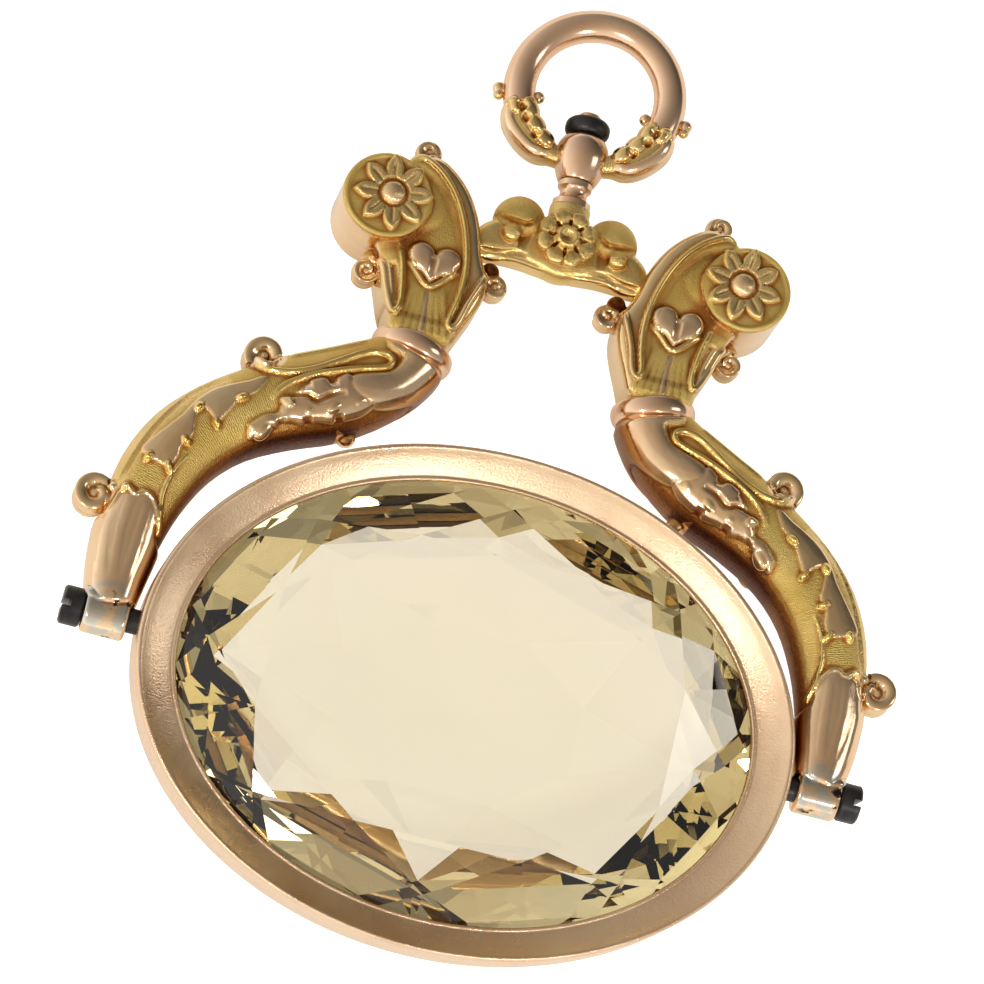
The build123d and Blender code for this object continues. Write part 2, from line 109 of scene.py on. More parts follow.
STONE_RINGS = [
    # half length, half width, height above the girdle, corners, first corner
    (15.80, 11.20, 4.00, 8, 22.5),
    (18.75, 14.00, 2.42, 8, 0.0),
    (21.60, 16.40, 0.35, 32, 0.0),
    (21.60, 16.40, -0.35, 32, 0.0),
    (19.20, 14.05, -2.75, 16, 11.25),
    (16.20, 11.30, -5.25, 8, 0.0),
    (9.60, 6.50, -7.55, 8, 22.5),
    (0.50, 0.35, -8.70, 8, 0.0),
]
pivot_height = 8.8
lifted = Matrix.Translation((0, 0, pivot_height / 1000)) @ Matrix.Scale(0.001, 4)

rings = []
for half_length, half_width, height, corners, first in STONE_RINGS:
    deselect()
    bpy.ops.mesh.primitive_circle_add(
        vertices=corners, radius=1.0, rotation=(0, 0, radians(first - 90))
    )
    ring = bpy.context.object
    apply_all(ring)
    ring.scale = (half_length, half_width, 1)
    ring.location = (0, 0, height)
    apply_all(ring)
    rings.append(ring)
stone = join(rings)
bpy.ops.object.mode_set(mode="EDIT")
bpy.ops.mesh.select_all(action="SELECT")
bpy.ops.mesh.convex_hull(join_triangles=False)
bpy.ops.mesh.select_all(action="SELECT")
bpy.ops.mesh.dissolve_limited(angle_limit=radians(0.5))
bpy.ops.mesh.normals_make_consistent(inside=False)
bpy.ops.object.mode_set(mode="OBJECT")
settle(stone, lifted, "cut_citrine")
for face in stone.data.polygons:
    face.use_smooth = False

citrine_material, tree, shader = new_material("cut citrine")
shader.inputs["Base Color"].default_value = (0.995, 0.99, 0.97, 1)
shader.inputs["Roughness"].default_value = 0.0
shader.inputs["IOR"].default_value = 1.55
shader.inputs["Transmission Weight"].default_value = 1.0
body_colour = add_node(
    tree, "ShaderNodeVolumeAbsorption", {"Color": (0.92, 0.85, 0.60, 1), "Density": 62.0}
)
tree.links.new(body_colour.outputs["Volume"], tree.nodes["Material Output"].inputs["Volume"])
dress(stone, citrine_material)
# Clear quartz throws no shadow worth seeing: the table under it is as light as beside it.
stone.visible_shadow = False
stone.visible_diffuse = False
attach(stone, "stone")
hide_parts("citrine")


# The bezel: one hoop of rose gold, dished towards the stone, with a thin bright lip that is
# rubbed over the girdle. It is satin from wear, and its front carries fine scratches.

hoop_sides = 256
HOOP_PROFILE = [
    # inset from the hoop's outside, height above the girdle's plane, in millimetres
    (2.98, 1.02),
    (2.97, 1.22),
    (2.90, 1.36),
    (2.78, 1.40),
    (2.66, 1.36),
    (2.58, 1.34),
    (2.50, 1.36),
    (1.85, 1.68),
    (1.20, 2.03),
    (0.62, 2.37),
    (0.46, 2.52),
    (0.32, 2.59),
    (0.18, 2.58),
    (0.06, 2.48),
    (0.00, 2.30),
    (0.00, 1.20),
    (0.00, 0.00),
    (0.00, -1.20),
    (0.00, -2.25),
    (0.05, -2.45),
    (0.18, -2.57),
    (0.40, -2.60),
    (1.20, -2.50),
    (2.40, -2.28),
    (2.90, -2.18),
    (2.98, -2.05),
    (2.98, -1.90),
    (2.20, -1.95),
    (0.80, -2.10),
    (0.80, 0.00),
    (0.80, 2.05),
    (2.20, 1.28),
    (2.98, 1.02),
]
hoop_half_length = 23.65
hoop_half_width = 17.9
inset_share_across = 0.82


def shade(thing, angle):
    """Smooths the shading of a mesh, apart from edges sharper than the angle."""
    deselect()
    thing.select_set(True)
    bpy.context.view_layer.objects.active = thing
    bpy.ops.object.shade_smooth_by_angle(angle=radians(angle))


def hoop_half_sizes(inset):
    """How far the hoop reaches along and across, at an inset from its outside."""
    return hoop_half_length - inset, hoop_half_width - inset * inset_share_across


deselect()
bpy.ops.mesh.primitive_circle_add(vertices=hoop_sides, radius=1.0)
bezel = bpy.context.object
bezel.scale = (*hoop_half_sizes(HOOP_PROFILE[0][0]), 1)
bezel.location = (0, 0, HOOP_PROFILE[0][1])
apply_all(bezel)
bpy.ops.object.mode_set(mode="EDIT")
bpy.ops.mesh.select_all(action="SELECT")
for (last_inset, last_height), (inset, height) in zip(HOOP_PROFILE, HOOP_PROFILE[1:]):
    last_length, last_width = hoop_half_sizes(last_inset)
    length, width = hoop_half_sizes(inset)
    bpy.ops.mesh.extrude_region_move(
        TRANSFORM_OT_translate={"value": (0, 0, height - last_height)}
    )
    bpy.ops.transform.resize(
        value=(length / last_length, width / last_width, 1), center_override=(0, 0, height)
    )
bpy.ops.mesh.select_all(action="SELECT")
bpy.ops.mesh.remove_doubles(threshold=0.001)
bpy.ops.mesh.normals_make_consistent(inside=False)
bpy.ops.object.mode_set(mode="OBJECT")
settle(bezel, lifted, "bezel_hoop")
shade(bezel, 50)


def combine(tree, operation, *terms):
    """A maths node over sockets and plain numbers."""
    made = add_node(tree, "ShaderNodeMath", operation=operation)
    for socket, term in zip(made.inputs, terms):
        if isinstance(term, bpy.types.NodeSocket):
            tree.links.new(term, socket)
        else:
            socket.default_value = term
    return made.outputs[0]


def noise_over(tree, place, scale, detail, roughness=0.5):
    """A noise that follows the given place."""
    values = {"Scale": scale, "Detail": detail, "Roughness": roughness}
    made = add_node(tree, "ShaderNodeTexNoise", values)
    tree.links.new(place, made.inputs["Vector"])
    return made.outputs["Fac"]


def remap(tree, value, from_low, from_high, to_low=0.0, to_high=1.0):
    """Carries a value from one range to another."""
    made = add_node(tree, "ShaderNodeMapRange", {
        "From Min": from_low, "From Max": from_high, "To Min": to_low, "To Max": to_high,
    })
    tree.links.new(value, made.inputs["Value"])
    return made.outputs["Result"]


def tones(tree, value, first, first_colour, second, second_colour):
    """A colour that passes from one tone to another between two values."""
    ramp = add_node(tree, "ShaderNodeValToRGB")
    low, high = ramp.color_ramp.elements
    low.position, low.color = first, (*first_colour, 1)
    high.position, high.color = second, (*second_colour, 1)
    tree.links.new(value, ramp.inputs["Fac"])
    return ramp.outputs["Color"]


def emboss(tree, shader, height, strength, distance):
    """Gives a material its fine relief."""
    bump = add_node(tree, "ShaderNodeBump", {"Strength": strength, "Distance": distance})
    tree.links.new(height, bump.inputs["Height"])
    tree.links.new(bump.outputs["Normal"], shader.inputs["Normal"])


# Fine scratches and the cloudy satin of worn gold, used by each metal of the pendant.
wear_group = bpy.data.node_groups.new("worn satin", "ShaderNodeTree")
for name, kind, way in (
    ("Scratches", "NodeSocketFloat", "INPUT"),
    ("Cloud", "NodeSocketFloat", "INPUT"),
    ("Scale", "NodeSocketFloat", "INPUT"),
    ("Scratch Height", "NodeSocketFloat", "OUTPUT"),
    ("Cloud", "NodeSocketFloat", "OUTPUT"),
    ("Fine", "NodeSocketFloat", "OUTPUT"),
    ("Place", "NodeSocketVector", "OUTPUT"),
):
    wear_group.interface.new_socket(name=name, in_out=way, socket_type=kind)
wear_in = add_node(wear_group, "NodeGroupInput")
wear_out = add_node(wear_group, "NodeGroupOutput")
place = add_node(wear_group, "ShaderNodeTexCoord")
scaled = add_node(wear_group, "ShaderNodeVectorMath", operation="SCALE")
wear_group.links.new(place.outputs["Object"], scaled.inputs[0])
wear_group.links.new(wear_in.outputs["Scale"], scaled.inputs["Scale"])
SCRATCHES = [
    # turn in degrees, how long against wide, fineness
    (20, 9.0, 900.0),
    (75, 8.0, 1100.0),
    (-38, 10.0, 1000.0),
]
scratches = 0.0
for turn, long_share, fineness in SCRATCHES:
    mapping = add_node(wear_group, "ShaderNodeMapping", {
        "Rotation": (radians(turn / 3), 0, radians(turn)), "Scale": (1.0, long_share, 1.0),
    })
    wear_group.links.new(scaled.outputs[0], mapping.inputs["Vector"])
    marks = noise_over(wear_group, mapping.outputs["Vector"], fineness, 3.0, 0.65)
    scratches = combine(wear_group, "MAXIMUM", scratches, marks)
scratch_height = combine(wear_group, "MULTIPLY", scratches, wear_in.outputs["Scratches"])
cloud = noise_over(wear_group, scaled.outputs[0], 260.0, 4.0)
cloud = combine(wear_group, "MULTIPLY", cloud, wear_in.outputs["Cloud"])
fine = noise_over(wear_group, scaled.outputs[0], 6500.0, 2.0)
wear_group.links.new(scratch_height, wear_out.inputs["Scratch Height"])
wear_group.links.new(cloud, wear_out.inputs["Cloud"])
wear_group.links.new(fine, wear_out.inputs["Fine"])
wear_group.links.new(scaled.outputs[0], wear_out.inputs["Place"])


def worn(tree, scratches, scale):
    """Puts the wear of the metal into a material."""
    values = {"Scratches": scratches, "Cloud": 1.0, "Scale": scale}
    return add_node(tree, "ShaderNodeGroup", values, node_tree=wear_group).outputs


bezel_material, tree, shader = new_material("satin rose gold of the bezel")
shader.inputs["Metallic"].default_value = 1.0
wear = worn(tree, 1.0, 1.0)
tone = tones(tree, wear["Cloud"], 0.32, (0.80, 0.55, 0.36), 0.68, (0.85, 0.64, 0.43))
tree.links.new(tone, shader.inputs["Base Color"])
tree.links.new(remap(tree, wear["Cloud"], 0.3, 0.7, 0.24, 0.36), shader.inputs["Roughness"])
relief = combine(tree, "ADD", wear["Scratch Height"], wear["Fine"])
emboss(tree, shader, relief, 0.7, 0.00003)
dress(bezel, bezel_material)
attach(bezel, "stone")
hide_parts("bezel")


# The two pivot screws and the washer of the post: dark steel, turned, and dull from tarnish.
# Each screw has a sawn slot and goes through an eye of the yoke into the bezel's wall.

steel_material, tree, shader = new_material("dark tarnished steel")
shader.inputs["Metallic"].default_value = 0.85
shader.inputs["Roughness"].default_value = 0.38
wear = worn(tree, 1.0, 1.6)
tone = tones(tree, wear["Cloud"], 0.35, (0.018, 0.017, 0.019), 0.7, (0.085, 0.08, 0.078))
tree.links.new(tone, shader.inputs["Base Color"])
emboss(tree, shader, wear["Cloud"], 0.5, 0.00006)
for name in ("pivot_screw_left", "pivot_screw_right", "post_washer"):
    dress(nodes[name], steel_material)


# The arms of the yoke: each is stamped in gold in two shells soldered edge to edge, S-shaped,
# with a scroll, a ruffle and a leaf with pinched tips, chased up from a matted ground.

yoke_tilt = 7.95
laid = lifted @ Matrix.Rotation(radians(-yoke_tilt), 4, "X")
ring_sides = 40
arm_grain = 0.105
foot_reach = 26.0
foot_barrel_radius = 1.6
foot_barrel_length = 3.2
collar_middle = (9.0, 24.65)
collar_turn = 13.0
ARM_SECTIONS = [
    # outer edge x, y, inner edge x, y, whole depth, in the yoke's own plane
    (11.65, 25.00, 6.55, 23.50, 4.7),
    (13.40, 24.00, 7.40, 21.90, 5.2),
    (15.60, 22.90, 9.20, 19.30, 5.7),
    (18.20, 21.60, 12.40, 16.90, 5.8),
    (20.60, 20.00, 15.80, 15.40, 5.7),
    (23.40, 17.90, 18.80, 13.70, 5.5),
    (25.90, 15.10, 21.00, 11.40, 5.2),
    (27.50, 11.50, 22.50, 8.50, 4.7),
    (28.05, 7.20, 23.40, 5.60, 4.1),
    (27.90, 3.00, 24.05, 2.60, 3.5),
    (27.35, 0.50, 24.30, 0.50, 3.2),
]
BUDS = [
    # x, y, ball radius, then the curl's radius, start, turns and way round
    (19.3, 21.3, 1.42, 1.25, -115, 1.2, 1),
    (28.75, 8.25, 1.38, 1.18, 150, 1.15, -1),
]
stop_lug = (12.3, 17.1, 0.74)
lug_cap_height = 16.95


def smooth_rows(rows, steps):
    """More rows along the same course, through the given ones."""
    rows = [np.array(row, float) for row in rows]
    out = []
    for index in range(len(rows) - 1):
        before = rows[max(index - 1, 0)]
        here, there = rows[index], rows[index + 1]
        after = rows[min(index + 2, len(rows) - 1)]
        for step in range(steps):
            t = step / steps
            out.append(0.5 * (
                2 * here + (there - before) * t
                + (2 * before - 5 * here + 4 * there - after) * t ** 2
                + (3 * here - before - 3 * there + after) * t ** 3
            ))
    out.append(rows[-1])
    return out


def ring_at(middle, half_width, half_depth, turn, sides=ring_sides, fullness=1.0):
    """A ring across the course of an arm: its width lies in the plane, its depth across it."""
    bpy.ops.mesh.primitive_circle_add(
        vertices=sides, radius=1.0, location=middle, rotation=(pi / 2, 0, turn)
    )
    ring = bpy.context.object
    for point in ring.data.vertices:
        for axis in (0, 1):
            point.co[axis] = copysign(abs(point.co[axis]) ** fullness, point.co[axis])
    ring.scale = (half_width, half_depth, 1)
    apply_all(ring)
    return ring


def skin_over(rings, sides=ring_sides):
    """Bridges each ring to the next and closes both ends."""
    body = join(rings)
    bpy.ops.object.mode_set(mode="EDIT")
    for index in range(len(rings) - 1):
        bpy.ops.mesh.select_all(action="DESELECT")
        bpy.ops.object.mode_set(mode="OBJECT")
        low, high = index * sides, (index + 2) * sides
        for edge in body.data.edges:
            a, b = edge.vertices
            ends_here = low <= a < high and low <= b < high
            edge.select = ends_here and a // sides == b // sides
        bpy.ops.object.mode_set(mode="EDIT")
        bpy.ops.mesh.select_mode(type="EDGE")
        bpy.ops.mesh.bridge_edge_loops()
    bpy.ops.mesh.select_all(action="DESELECT")
    bpy.ops.mesh.select_non_manifold()
    bpy.ops.mesh.fill_holes(sides=0)
    bpy.ops.mesh.select_all(action="SELECT")
    bpy.ops.mesh.normals_make_consistent(inside=False)
    bpy.ops.object.mode_set(mode="OBJECT")
    return body


def ball(x, y, radius, z=0.0, flat=1.0):
    """A round bud or bead in the yoke's plane."""
    deselect()
    bpy.ops.mesh.primitive_uv_sphere_add(
        segments=32, ring_count=16, radius=radius, location=(x, y, z)
    )
    made = bpy.context.object
    made.scale = (1, 1, flat)
    apply_all(made)
    return made


def cast_skin(thing, grain, smooth_times):
    """Melts the pieces of a casting into one closed skin of even grain."""
    skin = thing.modifiers.new("cast", "REMESH")
    skin.mode = "VOXEL"
    skin.voxel_size = grain
    soften = thing.modifiers.new("soften", "SMOOTH")
    soften.factor = 0.5
    soften.iterations = smooth_times
    deselect()
    thing.select_set(True)
    bpy.context.view_layer.objects.active = thing
    bpy.ops.object.modifier_apply(modifier="cast")
    bpy.ops.object.modifier_apply(modifier="soften")
    return thing


class Chasing:
    """The relief that is chased into a skin: how far each of its points is pushed out."""

    def __init__(self, thing):
        """Reads where each point of the skin is and which way it faces."""
        self.mesh = thing.data
        count = len(self.mesh.vertices)
        places = np.empty(count * 3)
        self.mesh.vertices.foreach_get("co", places)
        self.places = places.reshape(-1, 3)
        outward = np.empty(count * 3)
        self.mesh.vertices.foreach_get("normal", outward)
        self.outward = outward.reshape(-1, 3)
        self.x, self.y = self.places[:, 0], self.places[:, 1]
        self.rise = np.zeros(count)
        self.polish = np.zeros(count)
        self.rose = np.zeros(count)
        # Painted shade, added to the depth of the hollows when the skin is finished.
        self.shade = np.zeros(count)
        self.solder = np.zeros(count)
        self.course = np.stack([self.x, self.y, np.zeros(count)], 1)

    def along(self, points, closed=False):
        """Distance of each place from a smooth line, and how far along it that is."""
        line = np.array(points, float)
        if closed:
            line = np.vstack([line, line[:1]])
        best = np.full(len(self.x), 1e9)
        share = np.zeros(len(self.x))
        lengths = np.hypot(*(line[1:] - line[:-1]).T)
        total, run = lengths.sum(), 0.0
        for start, end, length in zip(line[:-1], line[1:], lengths):
            step = end - start
            t = (self.x - start[0]) * step[0] + (self.y - start[1]) * step[1]
            t = np.clip(t / max(length ** 2, 1e-12), 0, 1)
            gap = np.hypot(self.x - start[0] - t * step[0], self.y - start[1] - t * step[1])
            nearer = gap < best
            best = np.where(nearer, gap, best)
            share = np.where(nearer, (run + t * length) / total, share)
            run += length
        return best, share

    def inside(self, points):
        """How deep each place lies inside an outline, or how far outside, below zero."""
        outline = np.array(points, float)
        gap, _ = self.along(outline, closed=True)
        within = np.zeros(len(self.x), bool)
        for start, end in zip(outline, np.roll(outline, -1, axis=0)):
            crosses = (start[1] > self.y) != (end[1] > self.y)
            rise = end[1] - start[1]
            at = start[0] + (self.y - start[1]) * (end[0] - start[0]) / (rise if rise else 1e-9)
            within ^= crosses & (self.x < at)
        return np.where(within, gap, -gap)

    def burnish(self, cover, rose):
        """Marks what is polished, and how far its gold leans from yellow to rose."""
        self.polish = np.maximum(self.polish, cover)
        self.rose += (rose - self.rose) * cover

    def line(self, points, width, height, ends=(0.15, 0.15), rose=0.1, smooth=6):
        """A raised or sunk line with a round back that dies away at its ends."""
        if smooth > 1:
            points = smooth_rows(points, smooth)
        gap, share = self.along(points)
        body = np.sqrt(np.clip(1 - (gap / (width / 2)) ** 2, 0, 1))
        fade = np.ones(len(self.x))
        if ends[0]:
            fade *= np.clip(share / ends[0], 0, 1) ** 0.5
        if ends[1]:
            fade *= np.clip((1 - share) / ends[1], 0, 1) ** 0.5
        self.rise += height * body * fade
        if rose is not None:
            self.burnish(np.clip(body * 2, 0, 1) * np.clip(fade * 3 - 0.6, 0, 1), rose)

    def plate(self, points, height, edge, crown=0.0, crown_width=1.0, smooth=1, rose=1.0):
        """A raised field with a rounded edge and a soft crown."""
        if smooth > 1:
            closed = list(points) + [points[0]]
            points = smooth_rows(closed, smooth)[:-1]
        depth = self.inside(points)
        step = np.clip(depth / edge, 0, 1)
        swell = np.clip(depth / crown_width, 0, 1)
        lift = height * np.sqrt(np.clip(1 - (1 - step) ** 2, 0, 1))
        lift += crown * (1 - (1 - swell) ** 2)
        self.rise = np.maximum(self.rise, np.where(depth > 0, lift, 0))
        self.burnish(np.clip(depth / edge * 2, 0, 1), rose)

    def lobe(self, x, y, half_length, half_width, turn, height, lean=0.0, rose=1.0):
        """A smooth swelling lobe that stands highest towards its free end."""
        c, s = cos(radians(turn)), sin(radians(turn))
        u = ((self.x - x) * c + (self.y - y) * s) / half_length
        w = (-(self.x - x) * s + (self.y - y) * c) / half_width
        q = np.clip(1 - u ** 2 - w ** 2, 0, 1)
        lift = height * q ** 0.42 * (1 + lean * u)
        self.rise = np.maximum(self.rise, np.where(q > 0, lift, 0))
        self.burnish(np.clip(q * 8, 0, 1), rose)

    def finish(self):
        """Pushes the skin out and notes where it is polished, and how deep its hollows are with
        the painted shade added.
        """
        moved = self.places + self.outward * self.rise[:, None]
        self.mesh.vertices.foreach_set("co", moved.ravel())
        self.mesh.update()
        count = len(self.x)
        pairs = np.empty(len(self.mesh.edges) * 2, int)
        self.mesh.edges.foreach_get("vertices", pairs)
        pairs = pairs.reshape(-1, 2)
        normal = np.empty(count * 3)
        self.mesh.vertices.foreach_get("normal", normal)
        normal = normal.reshape(-1, 3)
        spread = moved.copy()
        links = np.bincount(pairs.ravel(), minlength=count).clip(1)
        for _ in range(14):
            total = np.zeros((count, 3))
            for axis in range(3):
                total[:, axis] += np.bincount(pairs[:, 0], spread[pairs[:, 1], axis], count)
                total[:, axis] += np.bincount(pairs[:, 1], spread[pairs[:, 0], axis], count)
            spread = total / links[:, None]
        # The depth of the hollows, where tarnish sits, plus the painted shade.
        tarnish_and_shade = ((spread - moved) * normal).sum(1) + self.shade
        for name, values in (
            ("polish", self.polish), ("rose", self.rose), ("tarnish_and_shade", tarnish_and_shade),
            ("solder", self.solder),
        ):
            layer = self.mesh.attributes.new(name, "FLOAT", "POINT")
            layer.data.foreach_set("value", values.astype(np.float32))
        layer = self.mesh.attributes.new("course", "FLOAT_VECTOR", "POINT")
        layer.data.foreach_set("vector", self.course.astype(np.float32).ravel())


def curl(chase, x, y, radius, start, turns, way, width=0.62, height=0.46):
    """A strap that rolls up into a curl with a small ball in its eye."""
    points = []
    for step in range(33):
        t = step / 32
        angle = radians(start) + way * turns * 2 * pi * t
        reach = radius * (1 - 0.55 * t ** 1.6)
        points.append((x + reach * cos(angle), y + reach * sin(angle)))
    gap = np.hypot(chase.x - x, chase.y - y)
    before = chase.rise.copy()
    chase.burnish(np.clip((radius + 0.4 - gap) * 5, 0, 1), 0.8)
    chase.rise -= 0.46 * radius * np.clip(1 - (gap / (radius * 0.95)) ** 4, 0, 1)
    chase.line(points, width, height, ends=(0, 0.1), smooth=1, rose=0.8)
    chase.rise += 0.14 * radius * np.sqrt(np.clip(1 - (gap / (0.39 * radius)) ** 2, 0, 1))
    on_face = np.clip(np.abs(chase.outward[:, 2]) * 2 - 0.3, 0, 1)
    chase.rise = before + (chase.rise - before) * on_face
    chase.polish *= 1 - 0.9 * np.clip((0.48 * radius - gap) * 6, 0, 1)


rings = []
for outer_x, outer_y, inner_x, inner_y, depth in smooth_rows(ARM_SECTIONS, 3):
    across = Vector((outer_x - inner_x, outer_y - inner_y))
    middle = ((outer_x + inner_x) / 2, (outer_y + inner_y) / 2, 0)
    turn = np.arctan2(across.y, across.x)
    rings.append(ring_at(middle, across.length / 2, depth / 2, turn, fullness=0.84))
arm = skin_over(rings)
deselect()
bpy.ops.mesh.primitive_cylinder_add(
    vertices=48, radius=foot_barrel_radius, depth=foot_barrel_length,
    location=(foot_reach, 0, 0), rotation=(0, pi / 2, 0),
)
eye = bpy.context.object
apply_all(eye)
bpy.ops.object.mode_set(mode="EDIT")
bpy.ops.mesh.select_all(action="SELECT")
bpy.ops.mesh.bevel(offset=0.28, segments=3, affect="EDGES")
bpy.ops.object.mode_set(mode="OBJECT")
parts = [arm, eye]
for x, y, radius, *_ in BUDS:
    parts.append(ball(x, y, radius))
parts.append(ball(*stop_lug))
arm = join(parts)
cast_skin(arm, arm_grain, 3)

SCROLL = [
    (19.6, 19.95), (18.75, 19.75), (17.4, 19.9), (15.7, 20.6), (14.05, 21.7), (12.4, 22.8),
    (11.1, 23.1), (10.45, 22.7), (10.9, 22.05), (13.0, 21.3), (15.6, 20.2), (17.2, 19.2),
    (17.95, 18.3), (18.3, 17.6),
]
RUFFLE = [
    (19.5, 15.4), (19.3, 14.5), (18.9, 14.6), (18.2, 15.5), (17.5, 15.7), (16.6, 16.35),
    (15.7, 16.4), (14.8, 16.85), (13.7, 17.1), (12.6, 17.65), (11.5, 18.4), (11.0, 19.4),
    (12.3, 20.3), (13.4, 20.9), (14.4, 20.1), (15.2, 20.1), (16.2, 19.4), (16.5, 18.7),
    (17.5, 17.9), (17.6, 16.8), (18.5, 16.4),
]
RUFFLE_NOTCHES = [
    [(17.6, 17.9), (17.1, 17.3)],
    [(16.2, 19.5), (15.9, 18.8)],
    [(14.4, 20.2), (14.15, 19.5)],
    [(17.15, 15.8), (17.35, 16.5)],
    [(15.3, 16.4), (15.55, 17.1)],
    [(13.15, 17.2), (13.5, 17.9)],
]
RUFFLE_CREVICE = [
    (17.7, 18.3), (16.8, 18.25), (15.9, 18.45), (15.1, 18.3), (14.2, 18.95), (13.2, 19.35),
]
RUFFLE_CRESTS = [
    # x, y, half length, half width, turn, height
    (18.35, 15.35, 0.90, 0.50, -50, 0.52),
    (16.90, 17.55, 0.85, 0.44, 18, 0.62),
    (15.45, 17.55, 0.70, 0.40, -28, 0.56),
    (13.75, 18.30, 1.00, 0.44, -40, 0.62),
    (12.10, 19.20, 0.85, 0.42, -40, 0.54),
]
TONGUE = [
    (6.2, 24.4), (6.9, 22.3), (8.2, 20.6), (9.8, 19.4), (11.3, 18.9), (12.9, 19.2), (13.5, 20.1),
    (13.0, 20.9), (11.9, 21.4), (10.6, 21.9), (9.95, 22.7), (9.95, 23.2), (11.0, 23.7),
    (10.6, 25.2),
]
LEAF = [
    (18.7, 19.15), (19.3, 17.9), (20.1, 17.2), (20.6, 16.6), (21.2, 15.5), (21.6, 14.7),
    (22.2, 15.4), (23.0, 15.8), (23.1, 14.6), (23.05, 13.5), (23.6, 12.7), (23.75, 11.7),
    (24.15, 10.8), (24.9, 11.0), (25.85, 11.3), (26.35, 11.95), (25.3, 13.4), (24.15, 14.9),
    (23.3, 16.4), (22.1, 17.6), (20.1, 18.6), (19.2, 19.2),
]
LEAF_TIPS = [
    # x, y, and the way that the pinch points
    (20.25, 17.15, 150),
    (21.6, 14.75, 235),
    (23.05, 15.7, 120),
    (23.4, 13.0, 215),
    (24.2, 10.85, 250),
    (25.75, 11.25, 300),
    (26.7, 8.7, 290),
]
OUTER_GROOVE = [
    (20.9, 19.0), (22.5, 17.95), (23.9, 16.7), (25.3, 14.6), (26.3, 12.5), (27.0, 10.3),
    (27.3, 9.2),
]
FOOT_SHEATH = [
    (24.2, 7.7), (24.7, 8.6), (25.3, 8.9), (25.9, 8.6), (26.4, 9.0), (26.9, 8.8), (27.25, 8.0),
    (27.7, 6.8), (29.0, 6.0), (29.0, 0.9), (24.0, 0.9), (22.9, 4.0), (24.0, 5.9),
]
SHEATH_LIP = [
    (24.05, 6.6), (24.3, 7.8), (24.9, 8.6), (25.5, 8.75), (26.0, 8.45), (26.5, 8.85), (27.0, 8.5),
    (27.35, 7.5), (27.9, 6.6),
]
SHEATH_FLUTES = [
    [(25.0, 8.0), (25.15, 6.0), (25.3, 3.8), (25.5, 2.2)],
    [(26.2, 8.2), (26.4, 6.2), (26.35, 4.0), (26.2, 2.2)],
    [(27.2, 7.0), (27.35, 5.6), (27.2, 3.8), (26.9, 2.3)],
]
FOOT_LINE = [(22.9, 12.4), (23.7, 11.0), (24.15, 9.2), (24.05, 7.6), (23.75, 6.0)]
TOP_LINE = [(12.4, 24.0), (15.2, 22.55), (17.7, 21.35)]
INNER_HOLLOW = [
    (9.4, 18.4), (11.6, 17.3), (13.6, 16.5), (15.9, 15.3), (17.9, 13.9), (19.9, 12.2),
    (21.5, 10.0),
]
OUTER_EDGE = [row[:2] for row in ARM_SECTIONS]
INNER_EDGE = [row[2:4] for row in ARM_SECTIONS]
COURSE = [((row[0] + row[2]) / 2, (row[1] + row[3]) / 2) for row in ARM_SECTIONS]

chase = Chasing(arm)
course_gap, share = chase.along(smooth_rows(COURSE, 5))
chase.course[:, 0] = share * 38.0
chase.course[:, 1] = course_gap
outer_gap, outer_share = chase.along(smooth_rows(OUTER_EDGE, 5))
inner_gap, _ = chase.along(smooth_rows(INNER_EDGE, 5))
chase.burnish(np.clip((1.45 - outer_gap) * 3, 0, 1) * (outer_share > 0.36) * 0.55, 0.4)
chase.line(INNER_HOLLOW, 2.0, -0.34, ends=(0.2, 0.2), rose=None)
chase.plate(RUFFLE, 0.34, 0.55, crown=0.20, crown_width=1.6, smooth=3)
chase.plate(TONGUE, 0.42, 0.9, crown=0.2, crown_width=2.0, smooth=3)
for row in RUFFLE_CRESTS:
    chase.lobe(*row, lean=0.25, rose=0.8)
for notch in RUFFLE_NOTCHES:
    chase.line(notch, 0.70, -0.24, ends=(0, 0.8), rose=None)
chase.line(RUFFLE_CREVICE, 0.50, -0.28, ends=(0.2, 0.25), rose=None)
chase.plate(LEAF, 0.17, 0.22, crown=0.06, crown_width=1.3, smooth=3, rose=0.8)
chase.plate(FOOT_SHEATH, 0.20, 0.30, crown=0.10, crown_width=1.2, smooth=2)
for x, y, turn in LEAF_TIPS:
    chase.lobe(x, y, 0.48, 0.26, turn, 0.50, lean=-0.3, rose=0.0)
for flute in SHEATH_FLUTES:
    chase.line(flute, 0.62, 0.035, ends=(0.2, 0.3), rose=1.0)
chase.line(SHEATH_LIP, 0.40, 0.18, ends=(0.1, 0.1), rose=0.6)
chase.line(SCROLL, 0.50, 0.40, ends=(0, 0.25))
chase.line(FOOT_LINE, 0.36, 0.24, ends=(0.3, 0.1))
chase.line(OUTER_GROOVE, 0.34, -0.14, ends=(0.2, 0.1), rose=None)
chase.line(TOP_LINE, 0.34, 0.14, ends=(0.1, 0.1))
for x, y, _, radius, start, turns, way in BUDS:
    curl(chase, x, y, radius, start, turns, way)
from_eye = np.hypot(chase.x - foot_reach, chase.y)
chase.burnish(np.clip((2.4 - from_eye) * 3, 0, 1), 1.0)
chase.solder = np.clip((2.1 - from_eye) / 0.4, 0, 1)
below_collar = (chase.x - collar_middle[0]) * sin(radians(collar_turn))
below_collar -= (chase.y - collar_middle[1]) * cos(radians(collar_turn))
chase.rise *= np.clip((below_collar - 0.55) / 0.6, 0, 1)
